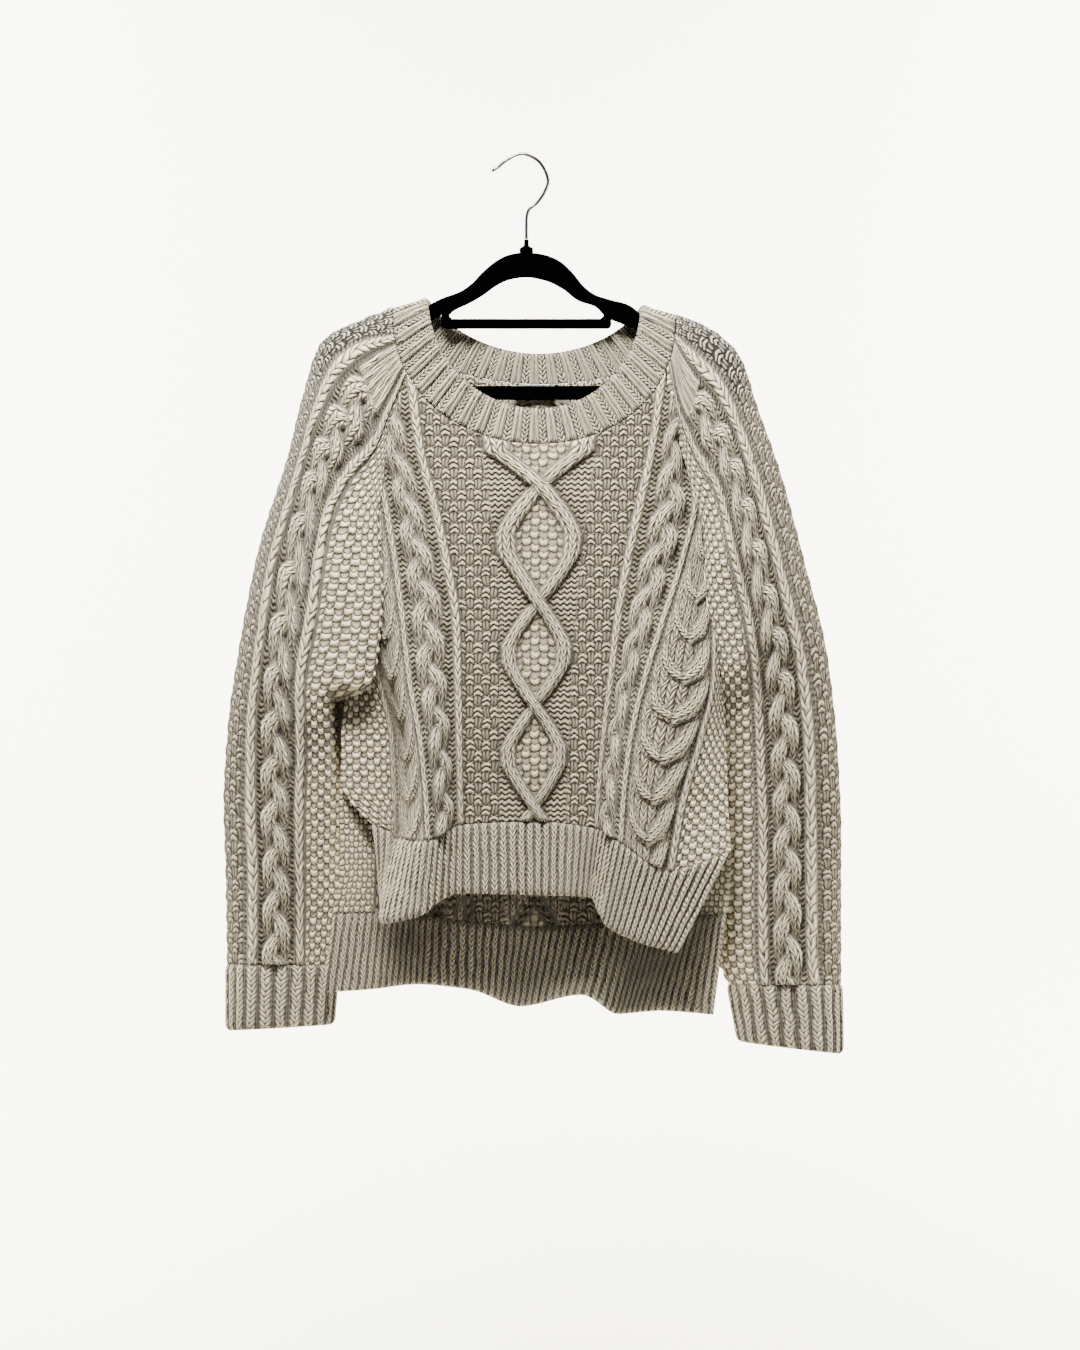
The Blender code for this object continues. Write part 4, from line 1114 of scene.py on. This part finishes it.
# %% Hanger sizes and outlines
PLATE, PLATE_EDGE, WIRE = 5.0, 1.2, 3.5
PLATE_TOP = numbers(2, """
-206 -224  -204 -210  -198 -199  -186 -189  -167 -180  -138 -168  -104 -153  -98 -149  -92 -145
-82 -140.5  -67 -135  -55 -127  -44 -115.5  -30 -104  -17 -97.7  -6 -96  6 -96  19 -98  33 -104
46 -115.5  57 -129  69 -138  86 -143.3  100 -147  107 -151  120 -162  152 -174  174 -184
190 -195  199 -208  202 -224""")
BAR_TOP, BAR_FOOT, BAR_END = -229, -243, 186
TIE_TOP, TIE_FOOT, POST_OUT, POST_IN = -162, -172, 85, 77
ARCH_LOWER = numbers(2, """
-77 -158  -72 -153.5  -60 -148  -44 -139  -30 -129  -17 -123  0 -120.6  19 -124  36 -132
52 -144  69 -150  77 -158""")
ARM_LOWER_LEFT = numbers(2, """
-85 -158  -103 -168  -138 -181  -167 -193  -182 -201  -189 -211  -190 -219""")
ARM_LOWER_RIGHT = numbers(2, """
187 -219  185 -211  176 -204  152 -189  118 -176  85 -163""")
HOOK = numbers(2, """
-34.8 -14.5  -28 -10  -19.4 -3  -5 3.1  10.6 -3  19.6 -16  21.6 -24  18.6 -34  10.6 -46  1.8 -54
0 -62.5  0 -82.3""")


# %% Black flock and steel
def flock_material():
    board = Board("black_flock")
    pile, stroke = board.noise(board.place(), 1400.0, 2.0), board.noise(board.place(), 60.0, 2.0)
    black = board.mix((0.5 + pile * 0.6 + stroke * 0.4).clamp(), colour(0, 0, 0),
                      colour(0.001, 0.001, 0.0011))
    board.feed(board.shader, {"Base Color": black, "Normal": board.bump(pile, 0.0004, 0.6),
                              "Roughness": 0.95, "Specular IOR Level": 0.0})
    return board.material


def steel_material():
    board = Board("polished_steel")
    board.feed(board.shader, {"Base Color": colour(0.2, 0.198, 0.195), "Metallic": 1.0,
                              "Roughness": 0.22 + board.noise(board.place(), 300.0, 2.0) * 0.16})
    return board.material


def tape_material():
    board = Board("white_tape")
    weave = board.add("ShaderNodeTexWave", {"bands_direction": "DIAGONAL"},
                      {"Vector": board.place(), "Scale": 700.0, "Distortion": 0.4}).out("Fac")
    white = board.mix(weave, colour(0.80, 0.80, 0.78), colour(0.88, 0.88, 0.86))
    board.feed(board.shader, {"Base Color": white, "Normal": board.bump(weave, 0.0001),
                              "Roughness": 0.7})
    return board.material


# %% Hanger pieces
def new_curve(name, dimensions, bevel, resolution):
    """An empty curve with a round bevel in mm."""
    curve = bpy.data.curves.new(name, "CURVE")
    curve.dimensions = dimensions
    curve.bevel_depth, curve.bevel_resolution = bevel * MM, resolution
    return curve


def add_spline(curve, points):
    """Straight steps from point to point; the points are in metres."""
    spline = curve.splines.new("POLY")
    spline.points.add(len(points) - 1)
    for made, point in zip(spline.points, points):
        made.co = (*point, 1)
    return spline


def smoothed(outline, count):
    """A number of points on a smooth curve through an outline, and the way to each."""
    points = np.array(outline)
    way = np.concatenate([[0], np.cumsum(np.linalg.norm(np.diff(points, axis=0), axis=1))])
    at = np.linspace(0, way[-1], count)
    return np.stack([smooth(way, points[:, k], at) for k in (0, 1)], axis=1), at


def rounded(outline):
    return smoothed(outline, 4 * len(outline))[0].tolist()


def hanger_plate(material, corner=3, soft=4, softer=1.2):
    top = rounded(PLATE_TOP)
    foot = [(198, -237), (BAR_END, BAR_FOOT), (-BAR_END, BAR_FOOT), (-201, -237)]
    window = rounded(ARCH_LOWER) + [(POST_IN, TIE_TOP + corner), (POST_IN - corner, TIE_TOP),
                                    (corner - POST_IN, TIE_TOP), (-POST_IN, TIE_TOP + corner)]
    tie = [(POST_OUT, TIE_FOOT + soft), (POST_OUT - softer, TIE_FOOT + softer),
           (POST_OUT - soft, TIE_FOOT)]
    lower = (rounded(ARM_LOWER_LEFT) + [(1 - BAR_END, BAR_TOP), (BAR_END - 4, BAR_TOP)]
             + rounded(ARM_LOWER_RIGHT) + tie + [(-x, z) for x, z in reversed(tie)])
    curve = new_curve("hanger_plate", "2D", PLATE_EDGE, 2)
    curve.fill_mode = "BOTH"
    curve.extrude = (PLATE / 2 - PLATE_EDGE) * MM
    curve.offset = -PLATE_EDGE * MM
    for outline in (top + foot, window, lower):
        add_spline(curve, [(x * MM, z * MM, 0) for x, z in outline]).use_cyclic_u = True
    return add_piece("hanger_plate", curve, material, "hanger_body",
                     AXIS_FROM_APEX * MM, (math.pi / 2, 0, 0))


def hook(material, tip=1.6):
    """The wire's end is rounded off over a tip in mm."""
    curve = new_curve("steel_hook", "3D", WIRE / 2, 5)
    curve.use_fill_caps = True
    points, at = smoothed(HOOK, 90)
    places = np.stack([points[:, 0], 0 * at, points[:, 1]], axis=1) + AXIS_FROM_APEX
    spline = add_spline(curve, places * MM)
    for point, t in zip(spline.points, np.clip(at / tip, 0, 1)):
        point.radius = math.sqrt(max(1 - (1 - t) ** 2, 0.02))
    return add_piece("steel_hook", curve, material, "hanger_hook")


flock = flock_material()
plate = hanger_plate(flock)
hook(steel_material())
for node, material in (("hanger_ferrule", flock), ("neck_label", tape_material())):
    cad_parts[node].data.materials.clear()
    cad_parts[node].data.materials.append(material)
print("hanger:", [round(v * 1000) for v in plate.dimensions], "mm")

# %% [markdown]

# %% [markdown]
# ## Light and camera
# Soft light from above and in front, as in a studio, and a pale floor that curves up into a wall,
# so that no edge shows behind the garment. The camera looks level at the middle of the frame from
# a few metres away.

# %% Backdrop
FLOOR_Z, FLOOR_FRONT, WALL_Y, WALL_TOP, ROOM, BEND = -1.45, -0.44, 0.9, 4.0, 5.0, 0.7


def backdrop():
    """The floor ends just in front of the garment, so that little light comes back up from it."""
    profile = [(FLOOR_FRONT, FLOOR_Z)]
    profile += [(WALL_Y - BEND + BEND * math.sin(t), FLOOR_Z + BEND - BEND * math.cos(t))
                for t in np.linspace(0, math.pi / 2, 13)]
    profile += [(WALL_Y, WALL_TOP)]
    points, n = [(x, y, z) for x in (-ROOM, ROOM) for y, z in profile], len(profile)
    faces = [(k, k + 1, n + k + 1, n + k) for k in range(n - 1)]
    mesh = bpy.data.meshes.new("backdrop")
    mesh.from_pydata(points, [], faces)
    mesh.shade_smooth()
    board = Board("pale_paper")
    board.feed(board.shader, {"Base Color": colour(0.95, 0.93, 0.87), "Roughness": 0.9,
                              "Specular IOR Level": 0.1})
    mesh.materials.append(board.material)
    made = bpy.data.objects.new("backdrop", mesh)
    bpy.context.scene.collection.objects.link(made)
    return made


backdrop()


# %% Lights
def area_light(name, place, towards, size, power, tint, spread):
    data = bpy.data.lights.new(name, "AREA")
    data.shape, data.size, data.size_y, data.energy = "RECTANGLE", *size, power
    data.color, data.spread = tint, math.radians(spread)
    made = bpy.data.objects.new(name, data)
    made.location = place
    made.rotation_mode = "QUATERNION"
    made.rotation_quaternion = (Vector(towards) - Vector(place)).to_track_quat("-Z", "Y")
    bpy.context.scene.collection.objects.link(made)


area_light("key_softbox", (-0.22, -0.9, 0.9), (0.03, 0, -0.2), (0.7, 0.35), 42,
           (1, 0.97, 0.92), 110)
area_light("right_fill", (1.6, -2.6, -0.3), (0, 0, -0.7), (1, 1), 9, (1, 1, 1), 180)
for side, hand in SIDES:
    area_light("wall_wash_" + hand, (1.5 * side, 0.3, 0.1), (0.3 * side, 0.9, -0.4), (0.5, 2.2), 92,
               (1, 0.98, 0.91), 80)
bpy.context.scene.world = bpy.data.worlds.new("room")
bpy.context.scene.world.use_nodes = True
room_light = bpy.context.scene.world.node_tree.nodes["Background"].inputs
room_light["Color"].default_value, room_light["Strength"].default_value = colour(1, 1, 0.99), 0.07

# %% Camera
DISTANCE, FRAME_HEIGHT, SENSOR = 5.0, 1.35, 36
camera_data = bpy.data.cameras.new("camera")
camera_data.sensor_width = SENSOR
camera_data.lens = SENSOR * DISTANCE / FRAME_HEIGHT
camera = bpy.data.objects.new("camera", camera_data)
camera.location = (0.0186, -DISTANCE, -0.5194)
camera.rotation_euler = (math.pi / 2, 0, 0)
bpy.context.scene.collection.objects.link(camera)
bpy.context.scene.camera = camera
